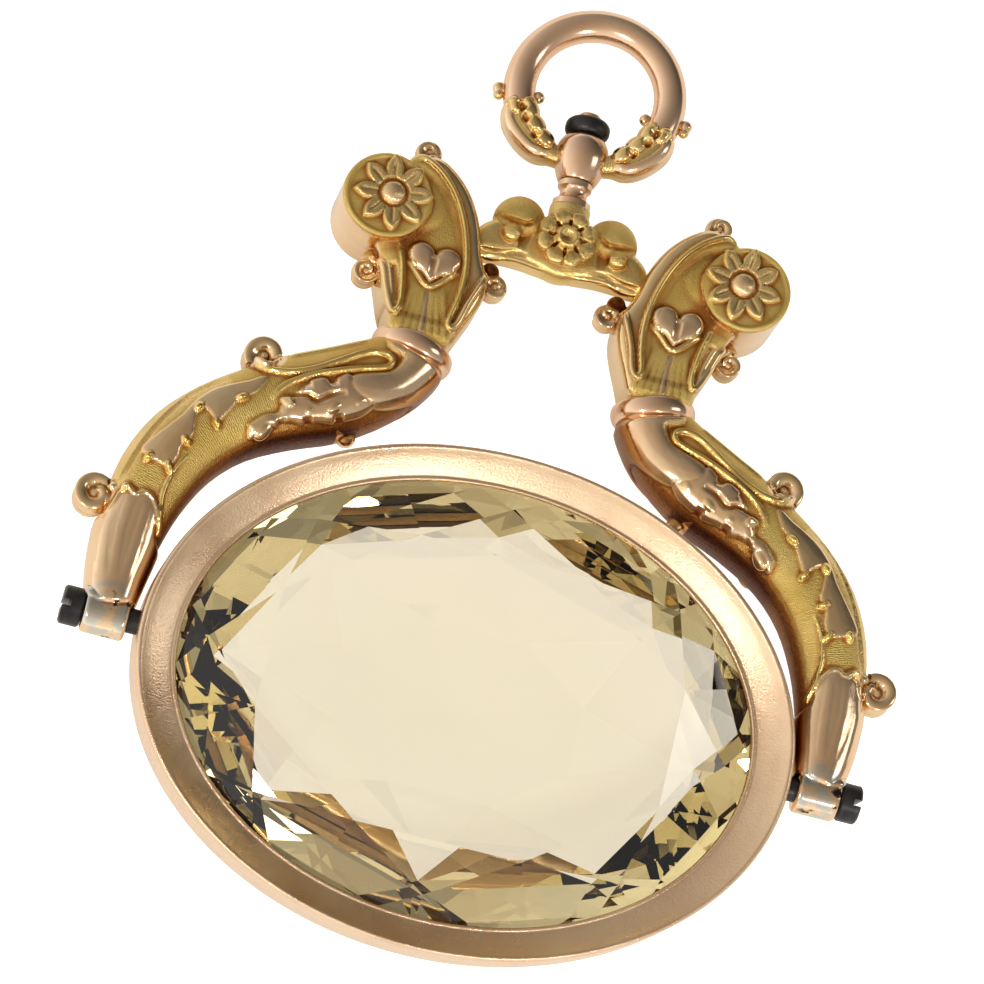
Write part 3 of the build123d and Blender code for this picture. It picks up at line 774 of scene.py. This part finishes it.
# Painted shade: the flank that faces the stone is darkened warm brown, most along the middle of
# the arm and beside the sheath.
facing_stone = np.clip((0.86 - np.abs(chase.outward[:, 2])) / 0.50, 0, 1)
facing_stone *= (inner_gap < outer_gap) * (course_gap > 0.6)
middle_of_arm = np.clip((chase.x - 11.5) / 1.5, 0, 1) * np.clip((20.5 - chase.x) / 3, 0, 1)
chase.shade = (0.19 + 0.14 * middle_of_arm) * facing_stone * np.clip((chase.y - 1.2) / 1.5, 0, 1)
# The cap of the stop lug is burnished and mostly kept out of the painted shade.
lug_x, lug_y, lug_radius = stop_lug
lug_cap = np.hypot(chase.x - lug_x, chase.y - lug_y) < lug_radius + 0.1
lug_cap = (lug_cap & (chase.y < lug_cap_height)) * 1.0
chase.burnish(lug_cap, 1.0)
chase.shade *= 1 - 0.8 * lug_cap
chase.finish()


def mirror_copy(thing, name):
    """The same casting for the other side, with its faces turned outwards again."""
    other = thing.copy()
    other.data = thing.data.copy()
    bpy.context.scene.collection.objects.link(other)
    other.data.transform(Matrix.Scale(-1, 4, (1, 0, 0)))
    other.data.flip_normals()
    other.name = name
    return other


# The finish of the yoke: raised parts are burnished rose gold, the ground between is matted
# with a liner and stays greenish yellow, old polish and tarnish sit warm in the hollows, and
# painted shade in the same warm tones darkens the flanks facing the stone, under the drums
# and the link eyes.

def blend(tree, factor, first, second):
    """Mixes two colours, each given as a socket or as a plain colour."""
    made = add_node(tree, "ShaderNodeMix", data_type="RGBA")
    tree.links.new(factor, made.inputs["Factor"])
    for name, colour in (("A", first), ("B", second)):
        if isinstance(colour, bpy.types.NodeSocket):
            tree.links.new(colour, made.inputs[name])
        else:
            made.inputs[name].default_value = (*colour, 1)
    return made.outputs["Result"]


def mark(tree, name):
    """What the chasing noted on the skin under this name."""
    return add_node(tree, "ShaderNodeAttribute", attribute_name=name).outputs["Fac"]


gold_material, tree, shader = new_material("chased two-colour gold")
shader.inputs["Metallic"].default_value = 1.0
wear = worn(tree, 0.6, 1.3)
polish = mark(tree, "polish")
tarnish_and_shade = mark(tree, "tarnish_and_shade")
solder = mark(tree, "solder")
ground_gold = tones(tree, wear["Cloud"], 0.3, (0.70, 0.49, 0.13), 0.7, (0.83, 0.61, 0.21))
raised_gold = tones(tree, wear["Cloud"], 0.3, (0.84, 0.57, 0.36), 0.7, (0.89, 0.66, 0.42))
two_tone = blend(tree, mark(tree, "rose"), ground_gold, raised_gold)
# These warm dark tones paint both the tarnish in the hollows and the painted shade added to it.
deepest_tarnish_and_shade = remap(tree, tarnish_and_shade, 0.0, 0.24)
tarnish_and_shade_tones = tones(tree, deepest_tarnish_and_shade, 0.35, (0.52, 0.22, 0.05), 0.95, (0.12, 0.035, 0.012))
aged_and_shaded = blend(tree, remap(tree, tarnish_and_shade, 0.004, 0.085), two_tone, tarnish_and_shade_tones)
repairs = noise_over(tree, wear["Place"], 620.0, 3.0)
patches = combine(tree, "MULTIPLY", remap(tree, repairs, 0.44, 0.56), solder)
pits = combine(tree, "MULTIPLY", remap(tree, repairs, 0.40, 0.34), solder)
soldered = blend(tree, patches, aged_and_shaded, (0.60, 0.57, 0.50))
pitted = blend(tree, pits, soldered, (0.05, 0.035, 0.03))
tree.links.new(pitted, shader.inputs["Base Color"])
tree.links.new(remap(tree, polish, 0.0, 1.0, 0.40, 0.17), shader.inputs["Roughness"])
course = add_node(tree, "ShaderNodeAttribute", attribute_name="course")
hatch = add_node(
    tree, "ShaderNodeTexWave",
    {"Scale": 1.7, "Distortion": 7.0, "Detail": 3.0, "Detail Scale": 3.0},
    wave_type="BANDS", bands_direction="X",
)
tree.links.new(course.outputs["Vector"], hatch.inputs["Vector"])
ground_only = combine(tree, "SUBTRACT", 1.0, polish)
hatching = combine(tree, "MULTIPLY", hatch.outputs["Fac"], ground_only)
stipple = noise_over(tree, wear["Place"], 4600.0, 1.0)
stipple = combine(tree, "MULTIPLY", stipple, ground_only)
matting = combine(tree, "MULTIPLY_ADD", stipple, 1.3, hatching)
height = combine(tree, "MULTIPLY_ADD", wear["Scratch Height"], 0.12, matting)
emboss(tree, shader, height, 0.55, 0.00006)

dress(arm, gold_material)
shade(arm, 180)
left_arm = mirror_copy(arm, "arm_left")
settle(arm, laid, "arm_right")
settle(left_arm, laid, "arm_left")
for piece in (arm, left_arm):
    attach(piece, "frame")
    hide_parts("yoke")


# The volute heads: the top of each arm rolls over into a drum with an eight-petalled rosette.
# Under it a strap runs down both sides, round a heart and a fan of pleats above the collar.

HEAD_OUTLINE = [
    (6.70, 24.60), (6.00, 26.50), (5.25, 28.20), (4.85, 29.60), (4.95, 30.90), (5.75, 32.40),
    (6.25, 34.60), (7.25, 36.70), (8.55, 38.15), (10.20, 39.20), (11.90, 38.75), (13.30, 37.60),
    (13.90, 34.90), (13.60, 31.90), (12.75, 30.20), (12.10, 28.40), (11.60, 26.70), (11.30, 24.60),
]
head_half_depth = 2.4
head_round = 0.85
head_grain = 0.095
disc_x, disc_y = 13.45, 34.75
disc_radius = 3.25
disc_half_depth = 3.05
rosette_x, rosette_y = 13.1, 35.0
link_eye = (4.75, 32.1, 0.72)


def plate_of(outline, half_depth, rounding):
    """A plate with round edges, from an outline drawn as a closed line."""
    deselect()
    bpy.ops.curve.primitive_bezier_circle_add(radius=1.0)
    drawn = bpy.context.object
    drawn.data.splines.clear()
    spline = drawn.data.splines.new("NURBS")
    spline.points.add(len(outline) - 1)
    for point, (x, y) in zip(spline.points, outline):
        point.co = (x, y, 0, 1)
    spline.order_u = 3
    spline.use_cyclic_u = True
    drawn.data.dimensions = "2D"
    drawn.data.fill_mode = "BOTH"
    drawn.data.resolution_u = 6
    drawn.data.extrude = half_depth - rounding
    drawn.data.bevel_depth = rounding
    drawn.data.bevel_resolution = 4
    drawn.data.offset = -rounding
    bpy.ops.object.convert(target="MESH")
    made = bpy.context.object
    bpy.ops.object.mode_set(mode="EDIT")
    bpy.ops.mesh.select_all(action="SELECT")
    bpy.ops.mesh.remove_doubles(threshold=0.001)
    bpy.ops.mesh.normals_make_consistent(inside=False)
    bpy.ops.object.mode_set(mode="OBJECT")
    return made


def drum(x, y, radius, half_depth, draft, rounding):
    """A round drum whose sides lean in towards both faces, with rounded edges."""
    deselect()
    bpy.ops.mesh.primitive_cylinder_add(
        vertices=96, radius=radius + draft, depth=2 * half_depth, location=(x, y, 0)
    )
    made = bpy.context.object
    apply_all(made)
    bpy.ops.object.mode_set(mode="EDIT")
    bpy.ops.mesh.select_mode(type="FACE")
    bpy.ops.object.mode_set(mode="OBJECT")
    for face in made.data.polygons:
        face.select = abs(face.normal.z) > 0.9
    bpy.ops.object.mode_set(mode="EDIT")
    share = radius / (radius + draft)
    bpy.ops.transform.resize(value=(share, share, 1), center_override=(x, y, 0))
    bpy.ops.mesh.bevel(offset=rounding, segments=4, affect="EDGES")
    bpy.ops.object.mode_set(mode="OBJECT")
    return made


HEAD_BUDS = [(10.95, 39.75, 1.0), (13.55, 29.65, 1.02), (4.25, 31.0, 1.0)]
parts = [plate_of(HEAD_OUTLINE, head_half_depth, head_round)]
parts.append(ball(10.9, 34.9, 4.1, flat=0.68))
parts.append(ball(13.3, 30.6, 0.84))
parts.append(ball(*link_eye))
parts.append(drum(disc_x, disc_y, disc_radius, disc_half_depth, 0.28, 0.3))
for bud in HEAD_BUDS:
    parts.append(ball(*bud))
head = join(parts)
cast_skin(head, head_grain, 2)

STRAP = [
    (12.2, 38.3), (11.3, 38.45), (9.9, 37.7), (8.6, 36.3), (7.6, 34.4), (6.95, 32.2),
    (6.7, 30.2), (6.85, 28.4), (7.15, 26.9), (6.95, 26.3), (6.5, 26.9), (6.1, 28.4),
    (5.5, 30.1), (5.05, 31.3),
]
OUTER_STRAP = [
    (13.5, 30.7), (12.6, 29.9), (12.05, 28.4), (11.5, 27.1), (11.1, 26.5), (10.85, 27.1),
    (10.95, 28.6), (11.25, 30.2), (11.6, 31.2),
]
HEART = [
    (9.10, 29.30), (9.85, 29.95), (10.65, 30.40), (11.00, 31.10), (10.90, 31.75), (10.35, 32.20),
    (9.70, 32.15), (9.25, 31.85), (9.10, 31.50), (8.95, 31.85), (8.50, 32.15), (7.85, 32.20),
    (7.30, 31.75), (7.20, 31.10), (7.55, 30.40), (8.35, 29.95),
]
FACE_FIELD = [
    (7.3, 26.2), (6.9, 30.2), (7.2, 32.6), (7.9, 34.6), (9.0, 36.4), (10.3, 37.5), (12.0, 38.0),
    (13.0, 34.8), (11.6, 31.0), (11.0, 28.4), (10.9, 26.2),
]
WITHIN_STRAP = [
    (7.2, 25.0), (6.7, 30.0), (7.0, 32.2), (7.6, 34.4), (8.6, 36.3), (9.9, 37.7), (12.2, 38.3),
    (17.5, 38.5), (17.5, 31.0), (11.3, 30.2), (10.9, 27.5), (10.9, 25.0),
]
HEART_CLEFT = [(9.1, 29.6), (9.1, 30.4), (9.1, 31.2)]
UNDER_HEART = [(7.2, 30.65), (8.0, 29.95), (9.1, 29.05), (10.2, 29.95), (11.0, 30.65)]
STRAP_GROOVE = [(11.95, 30.2), (11.5, 28.8), (11.1, 27.3)]

chase = Chasing(head)
chase.course = chase.course * (2.4, 0.9, 1.0)
around = np.hypot(chase.x - disc_x, chase.y - disc_y)
facing = np.abs(chase.outward[:, 2]) > 0.5
sunk_face = 0.20 * np.clip(chase.inside(FACE_FIELD) / 0.5, 0, 1)
sunk_face = np.where((around > 3.3) & facing, sunk_face, 0)
chase.plate(HEART, 0.34, 0.30, crown=0.22, crown_width=0.8, smooth=2)
chase.line(HEART_CLEFT, 0.6, -0.15, ends=(0.3, 0.2), rose=1.0)
chase.rise -= sunk_face
for lean in (-3, -2, -1, 0, 1, 2, 3):
    top = (9.1 + 0.36 * lean, 28.75 + 0.16 * abs(lean))
    pleat = [top, (9.0 + 0.46 * lean, 27.2), (8.95 + 0.56 * lean, 25.6)]
    chase.line(pleat, 0.46, 0.10, ends=(0.2, 0), rose=0.7 if lean == 0 else None)
chase.line(UNDER_HEART, 0.42, 0.28, ends=(0.2, 0.2), rose=0.3)
# Painted shade under the drum, between its lower edge and the heart.
below_disc = np.clip(1 - np.abs(around - 3.85) / 0.65, 0, 1)
below_disc *= np.clip((disc_y - 1.2 - chase.y) / 1.2, 0, 1) * facing
chase.shade = 0.085 * below_disc
chase.line(STRAP, 0.46, 0.34, ends=(0.04, 0.05))
chase.line(OUTER_STRAP, 0.42, 0.30, ends=(0.1, 0.1))
chase.line(STRAP_GROOVE, 0.5, -0.22, ends=(0.1, 0.2), rose=None)
# Painted shade: the small ball at the link's eye is darkened so that it looks like a dark hole.
link = np.hypot(chase.x - link_eye[0], chase.y - link_eye[1])
chase.shade += 0.26 * np.clip((0.85 - link) * 3, 0, 1)

# The rosette on the drum: eight petals with a crease between each two, and a domed button.
from_button = np.hypot(chase.x - rosette_x, chase.y - rosette_y)
on_drum = (around < disc_radius + 0.12) & (np.abs(chase.places[:, 2]) > head_half_depth + 0.3)
turn = np.arctan2(chase.y - rosette_y, chase.x - rosette_x) + radians(8)
beside = np.abs((turn * 4 / pi + 0.5) % 1 - 0.5) * 2
petal_reach = 1.40 + 1.52 * (1 - beside) ** 0.52
petal = np.clip((petal_reach - from_button) / 0.28, 0, 1)
swell = 1 - (1 - petal) ** 2
crease = 0.10 * np.exp(-(beside * 7) ** 2) * np.clip((2.5 - from_button) * 2, 0, 1)
rosette = 0.34 * swell * (0.35 + 0.65 * np.clip(from_button / 2.4, 0, 1)) - crease * petal
rosette = np.where(from_button < 1.15, 0.10, rosette)
button = 0.62 * np.sqrt(np.clip(1 - (from_button / 0.92) ** 2, 0, 1))
rosette = np.maximum(rosette, button)
rim = 0.12 * np.sqrt(np.clip(1 - ((around - 3.0) / 0.2) ** 2, 0, 1))
rim *= np.clip((chase.x - disc_x + 1.8) / 1.5, 0, 1)
drum_polish = np.clip(petal * 1.5, 0, 1) * 0.8 + (rim > 0.02) * 0.2
chase.rise = np.where(on_drum, rosette + rim, chase.rise)
chase.polish = np.where(on_drum, drum_polish, chase.polish)
chase.rose = np.where(on_drum, petal * 0.35 + (button > 0.02) * 0.4, chase.rose)
side_wall = (np.abs(chase.outward[:, 2]) < 0.45) * 1.0
chase.burnish(side_wall, 0.9)
beyond_strap = np.clip(-chase.inside(WITHIN_STRAP) / 0.6, 0, 1)
chase.burnish(beyond_strap * np.clip((around - disc_radius - 0.1) / 0.8, 0, 1), 0.6)
for x, y, _ in HEAD_BUDS:
    curl(chase, x, y, 0.78, 200, 1.0, 1, 0.34, 0.24)
chase.finish()
dress(head, gold_material)
shade(head, 180)
left_head = mirror_copy(head, "head_left")
settle(head, laid, "head_right")
settle(left_head, laid, "head_left")
for piece in (head, left_head):
    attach(piece, "frame")
    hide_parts("yoke")


# The collars: a rounded band of burnished rose gold round the waist of each side of the yoke,
# soldered where the volute head stands on its arm.

COLLAR_ROWS = [
    # share of the half width and depth, height along the arm
    (0.80, -0.80),
    (0.94, -0.72),
    (1.00, -0.45),
    (1.03, 0.00),
    (1.00, 0.45),
    (0.94, 0.72),
    (0.80, 0.80),
]
collar_half_width = 3.02
collar_half_depth = 2.88
collar_sides = 64

deselect()
rings = []
for share, up in COLLAR_ROWS:
    half_width, half_depth = collar_half_width * share, collar_half_depth * share
    rings.append(ring_at((0, up, 0), half_width, half_depth, 0, collar_sides))
collar = skin_over(rings, collar_sides)
soft = collar.modifiers.new("round", "SUBSURF")
soft.levels = soft.render_levels = 2
deselect()
collar.select_set(True)
bpy.context.view_layer.objects.active = collar
bpy.ops.object.modifier_apply(modifier="round")
collar.rotation_euler = (0, 0, radians(collar_turn))
collar.location = (*collar_middle, 0)
apply_all(collar)
shade(collar, 60)

rose_material, tree, shader = new_material("burnished rose gold")
shader.inputs["Metallic"].default_value = 1.0
wear = worn(tree, 1.0, 1.2)
tone = tones(tree, wear["Cloud"], 0.3, (0.82, 0.53, 0.36), 0.7, (0.88, 0.62, 0.42))
tree.links.new(tone, shader.inputs["Base Color"])
tree.links.new(remap(tree, wear["Cloud"], 0.0, 1.0, 0.10, 0.24), shader.inputs["Roughness"])
emboss(tree, shader, wear["Scratch Height"], 0.12, 0.00003)

dress(collar, rose_material)
left_collar = mirror_copy(collar, "collar_left")
settle(collar, laid, "collar_right")
settle(left_collar, laid, "collar_left")
for piece in (collar, left_collar):
    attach(piece, "frame")
    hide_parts("yoke")


# The bridge: a cast bar of yellow gold that is soldered between the two heads, with a leaf lobe
# and a bead on each side of an eight-petalled flower, and a boss on top for the post.

BRIDGE_OUTLINE = [
    (6.6, 32.8), (5.0, 33.1), (3.2, 33.2), (1.6, 33.05), (0.0, 32.5), (-1.6, 33.05), (-3.2, 33.2),
    (-5.0, 33.1), (-6.6, 32.8), (-6.6, 35.0), (-5.2, 36.2), (-3.4, 36.6), (0.0, 37.4),
    (3.4, 36.6), (5.2, 36.2), (6.6, 35.0),
]
BRIDGE_FOLDS = [
    # points on the right half, width, height, how soon its ends die away, rose
    ([(2.1, 36.7), (2.9, 35.9), (4.2, 35.95), (5.3, 36.4)], 0.40, -0.26, (0.2, 0.2), None),
    ([(2.6, 36.2), (2.9, 35.0), (3.0, 34.0)], 0.80, -0.20, (0.3, 0.4), None),
    ([(2.4, 33.7), (3.4, 33.75), (4.6, 33.4), (6.0, 33.3)], 0.50, -0.16, (0.2, 0.1), None),
    ([(1.0, 32.95), (2.6, 33.2), (3.8, 33.2), (5.9, 32.95)], 0.42, 0.16, (0.2, 0.1), 0.5),
]
bridge_grain = 0.09
flower_height = 35.5
petal_count = 8
petal_middle = 1.62
boss_radius = 1.5
boss_length = 3.8
boss_height = 36.6

parts = [plate_of(BRIDGE_OUTLINE, 1.2, 0.9)]
for side in (-1, 1):
    parts.append(ball(side * 3.45, 36.45, 1.95, flat=0.95))
    for face in (1, -1):
        parts.append(ball(side * 3.95, 35.05, 0.72, face * 1.35, 0.8))
parts.append(drum(0, flower_height, 1.85, 1.9, 0.1, 0.3))
deselect()
bpy.ops.mesh.primitive_cylinder_add(
    vertices=48, radius=boss_radius, depth=boss_length,
    location=(0, boss_height, 0), rotation=(pi / 2, 0, 0),
)
boss = bpy.context.object
apply_all(boss)
parts.append(boss)
for face in (-1, 1):
    for index in range(petal_count):
        turn = 2 * pi * (index + 0.5) / petal_count
        x, y = petal_middle * cos(turn), flower_height + petal_middle * sin(turn)
        parts.append(ball(x, y, 0.68, face * 1.85, 0.62))
    parts.append(ball(0, flower_height, 1.02, face * 2.0, 0.70))
bridge = join(parts)
cast_skin(bridge, bridge_grain, 2)

chase = Chasing(bridge)
for side in (-1, 1):
    for points, width, height, ends, rose in BRIDGE_FOLDS:
        mirrored = [(side * x, y) for x, y in points]
        chase.line(mirrored, width, height, ends=ends, rose=rose)
around = np.hypot(chase.x, chase.y - flower_height)
turn = np.arctan2(chase.y - flower_height, chase.x)
on_flower = (np.abs(chase.places[:, 2]) > 1.6) & (around < 2.3)
groove = np.exp(-((np.sin(turn * 4) / 0.24) ** 2)) * np.clip((around - 0.7) * 3, 0, 1)
cup = 0.50 * np.clip(1 - (around / 0.66) ** 2, 0, 1)
pinch = 0.22 * np.clip(1 - ((around - 1.75) / 0.5) ** 2, 0, 1) * np.abs(np.cos(turn * 4)) ** 6
chase.rise += np.where(on_flower, pinch - cup - 0.20 * groove, 0)
chase.course = chase.course * (2.6, 0.8, 1.0)
on_lobe = np.hypot(np.abs(chase.x) - 3.45, chase.y - 36.9) < 1.9
chase.burnish(np.where(on_lobe, 0.2, 0.75), 0.25)
chase.finish()
dress(bridge, gold_material)
shade(bridge, 180)
settle(bridge, laid, "bridge")
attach(bridge, "frame")
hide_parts("yoke")


# The swivel post: a neck and pin turned from rose gold in one. It is screwed into the bridge's
# boss and riveted over the steel washer, so that the bow can turn on it and can't come off.

dress(nodes["swivel_post"], rose_material)


# The bow: a rose-gold wire ring whose ends are cast as leaves with beads and knobs, soldered to
# a drilled, barrel-shaped ball. The ball turns on the post, and the wire is smooth from wear.

ring_middle = 47.57
ring_radius = 5.53
ball_middle = 42.30
bow_turn = 7.8
wire_radius = 1.2
wire_start, wire_end = 62.0, 298.0
wire_sides = 32
wire_steps = 96
bow_grain = 0.07
bow_laid = laid @ Matrix.Rotation(radians(-bow_turn), 4, "Y")
KNOBS = [(6.95, 46.65, 0.50), (6.90, 46.15, 0.40), (3.98, 46.55, 0.46)]
BOW_END = [
    # angle from the ring's lowest point, reach from its middle, half width, half depth
    (12.0, 5.40, 0.95, 0.95),
    (18.0, 5.60, 0.80, 0.92),
    (24.0, 5.72, 0.88, 1.00),
    (30.0, 5.80, 1.12, 1.15),
    (38.0, 5.84, 1.28, 1.26),
    (48.0, 5.82, 1.38, 1.32),
    (58.0, 5.78, 1.48, 1.34),
    (65.0, 5.66, 1.42, 1.28),
    (69.5, 5.55, 1.22, 1.16),
]
BALL_PROFILE = [
    # radius, height above the ball's middle
    (0.95, -1.79),
    (1.32, -1.79),
    (1.42, -1.68),
    (1.72, -0.98),
    (1.93, -0.19),
    (1.96, 0.42),
    (1.84, 1.07),
    (1.56, 1.60),
    (1.38, 1.75),
    (1.22, 1.79),
    (0.95, 1.79),
    (0.95, -1.79),
]


def on_ring(angle, reach):
    """A place at an angle from the ring's lowest point and a reach from its middle."""
    turn = radians(angle)
    return reach * sin(turn), ring_middle - reach * cos(turn)


rings = []
for angle, reach, half_width, half_depth in smooth_rows(BOW_END, 3):
    x, y = on_ring(angle, reach)
    rings.append(ring_at((x, y, 0), half_width, half_depth, radians(angle - 90), fullness=0.9))
parts = [skin_over(rings)]
for knob in KNOBS:
    parts.append(ball(*knob))
bow_end = join(parts)
cast_skin(bow_end, bow_grain, 2)

# The leaf on each end of the bow: an edge and a fold along it, beads, drilled eyes and a lip.
LEAF_EDGE = [(24, 6.0), (34, 6.6), (46, 6.8), (58, 6.8), (70, 6.5)]
LEAF_FOLD = [(26, 5.7), (36, 6.1), (48, 6.2), (60, 6.3)]
LEAF_BEADS = [
    # angle, reach, half length, half width
    (33, 5.35, 0.80, 0.60),
    (46, 5.15, 0.85, 0.62),
    (60, 5.05, 0.85, 0.62),
    (65, 6.00, 0.60, 0.46),
]
LEAF_EYES = [(39.5, 5.65), (54, 5.6), (63, 5.55)]
LEAF_LIP = [(68.5, reach) for reach in (4.3, 4.9, 5.5, 6.1, 6.7)]
chase = Chasing(bow_end)
chase.burnish(np.full(len(chase.x), 0.6), 0.55)
chase.line([on_ring(*row) for row in LEAF_EDGE], 0.85, 0.18, ends=(0.1, 0.1), rose=1.0)
chase.line([on_ring(*row) for row in LEAF_FOLD], 0.36, -0.26, ends=(0.2, 0.2), rose=0.2)
for angle, reach, length, width in LEAF_BEADS:
    x, y = on_ring(angle, reach)
    chase.lobe(x, y, length, width, angle, 0.40, lean=0.2, rose=0.35)
for angle, reach in LEAF_EYES:
    x, y = on_ring(angle, reach)
    gap = np.hypot(chase.x - x, chase.y - y)
    chase.rise -= 0.32 * np.clip(1 - (gap / 0.40) ** 2, 0, 1)
chase.line([on_ring(*row) for row in LEAF_LIP], 0.42, 0.16, ends=(0.1, 0.1), rose=0.5)
chase.burnish(np.clip((chase.y - 46.0) * 4, 0, 1), 0.9)
chase.finish()
dress(bow_end, gold_material)
other_end = mirror_copy(bow_end, "bow_end_left")

rings = []
for step in range(wire_steps + 1):
    angle = wire_start + (wire_end - wire_start) * step / wire_steps
    x, y = on_ring(angle, ring_radius)
    rings.append(ring_at((x, y, 0), wire_radius, wire_radius, radians(angle - 90), wire_sides))
wire = skin_over(rings, wire_sides)

first_radius, first_height = BALL_PROFILE[0]
deselect()
bpy.ops.mesh.primitive_circle_add(
    vertices=96, radius=1.0, rotation=(pi / 2, 0, 0), location=(0, first_height, 0)
)
barrel = bpy.context.object
barrel.scale = (first_radius, first_radius, 1)
apply_all(barrel)
bpy.ops.object.mode_set(mode="EDIT")
bpy.ops.mesh.select_all(action="SELECT")
last_radius, last_height = first_radius, first_height
for radius, height in smooth_rows(BALL_PROFILE[1:10], 3) + BALL_PROFILE[10:]:
    bpy.ops.mesh.extrude_region_move(
        TRANSFORM_OT_translate={"value": (0, height - last_height, 0)}
    )
    grow = radius / last_radius
    bpy.ops.transform.resize(value=(grow, 1, grow), center_override=(0, height, 0))
    last_radius, last_height = radius, height
bpy.ops.mesh.select_all(action="SELECT")
bpy.ops.mesh.remove_doubles(threshold=0.0005)
bpy.ops.mesh.normals_make_consistent(inside=False)
bpy.ops.object.mode_set(mode="OBJECT")
barrel.location = (0, ball_middle, 0)
apply_all(barrel)
for thing, angle in ((wire, 180), (barrel, 40)):
    dress(thing, rose_material)
    shade(thing, angle)
for thing in (bow_end, other_end):
    shade(thing, 180)
for thing, name in (
    (wire, "bow_wire"), (barrel, "bow_ball"),
    (bow_end, "bow_end_right"), (other_end, "bow_end_left"),
):
    settle(thing, bow_laid, name)
    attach(thing, "bow")
    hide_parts("bow")


# The table and the light: a plain pale surface that glows evenly to the camera, inside a tent
# of soft light that is brighter at the front left, with two lamps and a window beside it.

deselect()
bpy.ops.mesh.primitive_plane_add(size=4.0, location=(0, 0, 0))
floor = bpy.context.object
floor.name = "table"
floor_material, tree, shader = new_material("white table")
shader.inputs["Base Color"].default_value = (0.7, 0.7, 0.7, 1)
shader.inputs["Roughness"].default_value = 0.9
shader.inputs["Specular IOR Level"].default_value = 0.1
shader.inputs["Emission Strength"].default_value = 1.0
seen_by = add_node(tree, "ShaderNodeLightPath")
glow = blend(tree, seen_by.outputs["Is Camera Ray"], (0.20, 0.18, 0.14), (0.85, 0.85, 0.85))
tree.links.new(glow, shader.inputs["Emission Color"])
dress(floor, floor_material)

world = bpy.data.worlds.new("light tent")
bpy.context.scene.world = world
world.use_nodes = True
sky = world.node_tree
background = sky.nodes["Background"]
direction = add_node(sky, "ShaderNodeTexCoord").outputs["Generated"]
axes = add_node(sky, "ShaderNodeSeparateXYZ")
sky.links.new(direction, axes.inputs["Vector"])
sky_colour = tones(sky, axes.outputs["Z"], 0.0, (0.95, 0.95, 0.95), 0.97, (0.50, 0.44, 0.36))
for position, colour in ((0.35, (0.72, 0.70, 0.66, 1)), (0.72, (0.60, 0.57, 0.52, 1))):
    sky_colour.node.color_ramp.elements.new(position).color = colour
sky.links.new(sky_colour, background.inputs["Color"])
front_left = add_node(sky, "ShaderNodeVectorMath", operation="DOT_PRODUCT")
front_left.inputs[1].default_value = (-0.55, -0.66, 0.0)
sky.links.new(direction, front_left.inputs[0])
strength = combine(sky, "ADD", front_left.outputs["Value"], 0.95)
sky.links.new(strength, background.inputs["Strength"])


def softbox(name, place, size, power, aim=(0, 0.012, 0.005)):
    """A big soft lamp turned towards the pendant."""
    lamp = bpy.data.lights.new(name, "AREA")
    lamp.shape = "RECTANGLE"
    lamp.size, lamp.size_y = size
    lamp.energy = power
    body = bpy.data.objects.new(name, lamp)
    bpy.context.scene.collection.objects.link(body)
    body.location = place
    body.rotation_euler = (Vector(aim) - Vector(place)).to_track_quat("-Z", "Y").to_euler()
    return body


softbox("lamp in front", (0.163, -0.303, 0.363), (0.05, 0.05), 0.38)
softbox("lamp at the left", (-0.202, -0.242, 0.388), (0.05, 0.05), 0.38)
softbox("side window", (0.42, 0.10, 0.30), (0.12, 0.2), 0.20)
tent = softbox("tent", (0.0, -0.05, 0.60), (0.7, 0.7), 1.7)
tent.visible_glossy = False
tent.visible_transmission = False

# The camera: far off with a long lens, leaning over the pendant and rolled a little, with the
# offsets and the distance in millimetres from the pivots' middle.
toward_camera = Vector((-0.1125, -0.1948, 0.9744)).normalized()
camera_roll = radians(14.52)
camera_right, camera_up, camera_distance = 2.05, 15.03, 420
across = (Vector((1, 0, 0)) - toward_camera * toward_camera.x).normalized()
upward = toward_camera.cross(across)
right = cos(camera_roll) * across + sin(camera_roll) * upward
up = -sin(camera_roll) * across + cos(camera_roll) * upward
camera_data = bpy.data.cameras.new("camera")
camera_data.lens = 218.2
camera_data.sensor_width = 36.0
camera_data.clip_start = 0.01
camera_data.clip_end = 10.0
camera = bpy.data.objects.new("camera", camera_data)
bpy.context.scene.collection.objects.link(camera)
offset = camera_right * right + camera_up * up + camera_distance * toward_camera
spot = (Vector((0, 0, pivot_height)) + offset) * 0.001
turned = Matrix((right, up, toward_camera)).transposed().to_4x4()
camera.matrix_world = Matrix.Translation(spot) @ turned
bpy.context.scene.camera = camera
bpy.context.scene.view_settings.view_transform = "Standard"
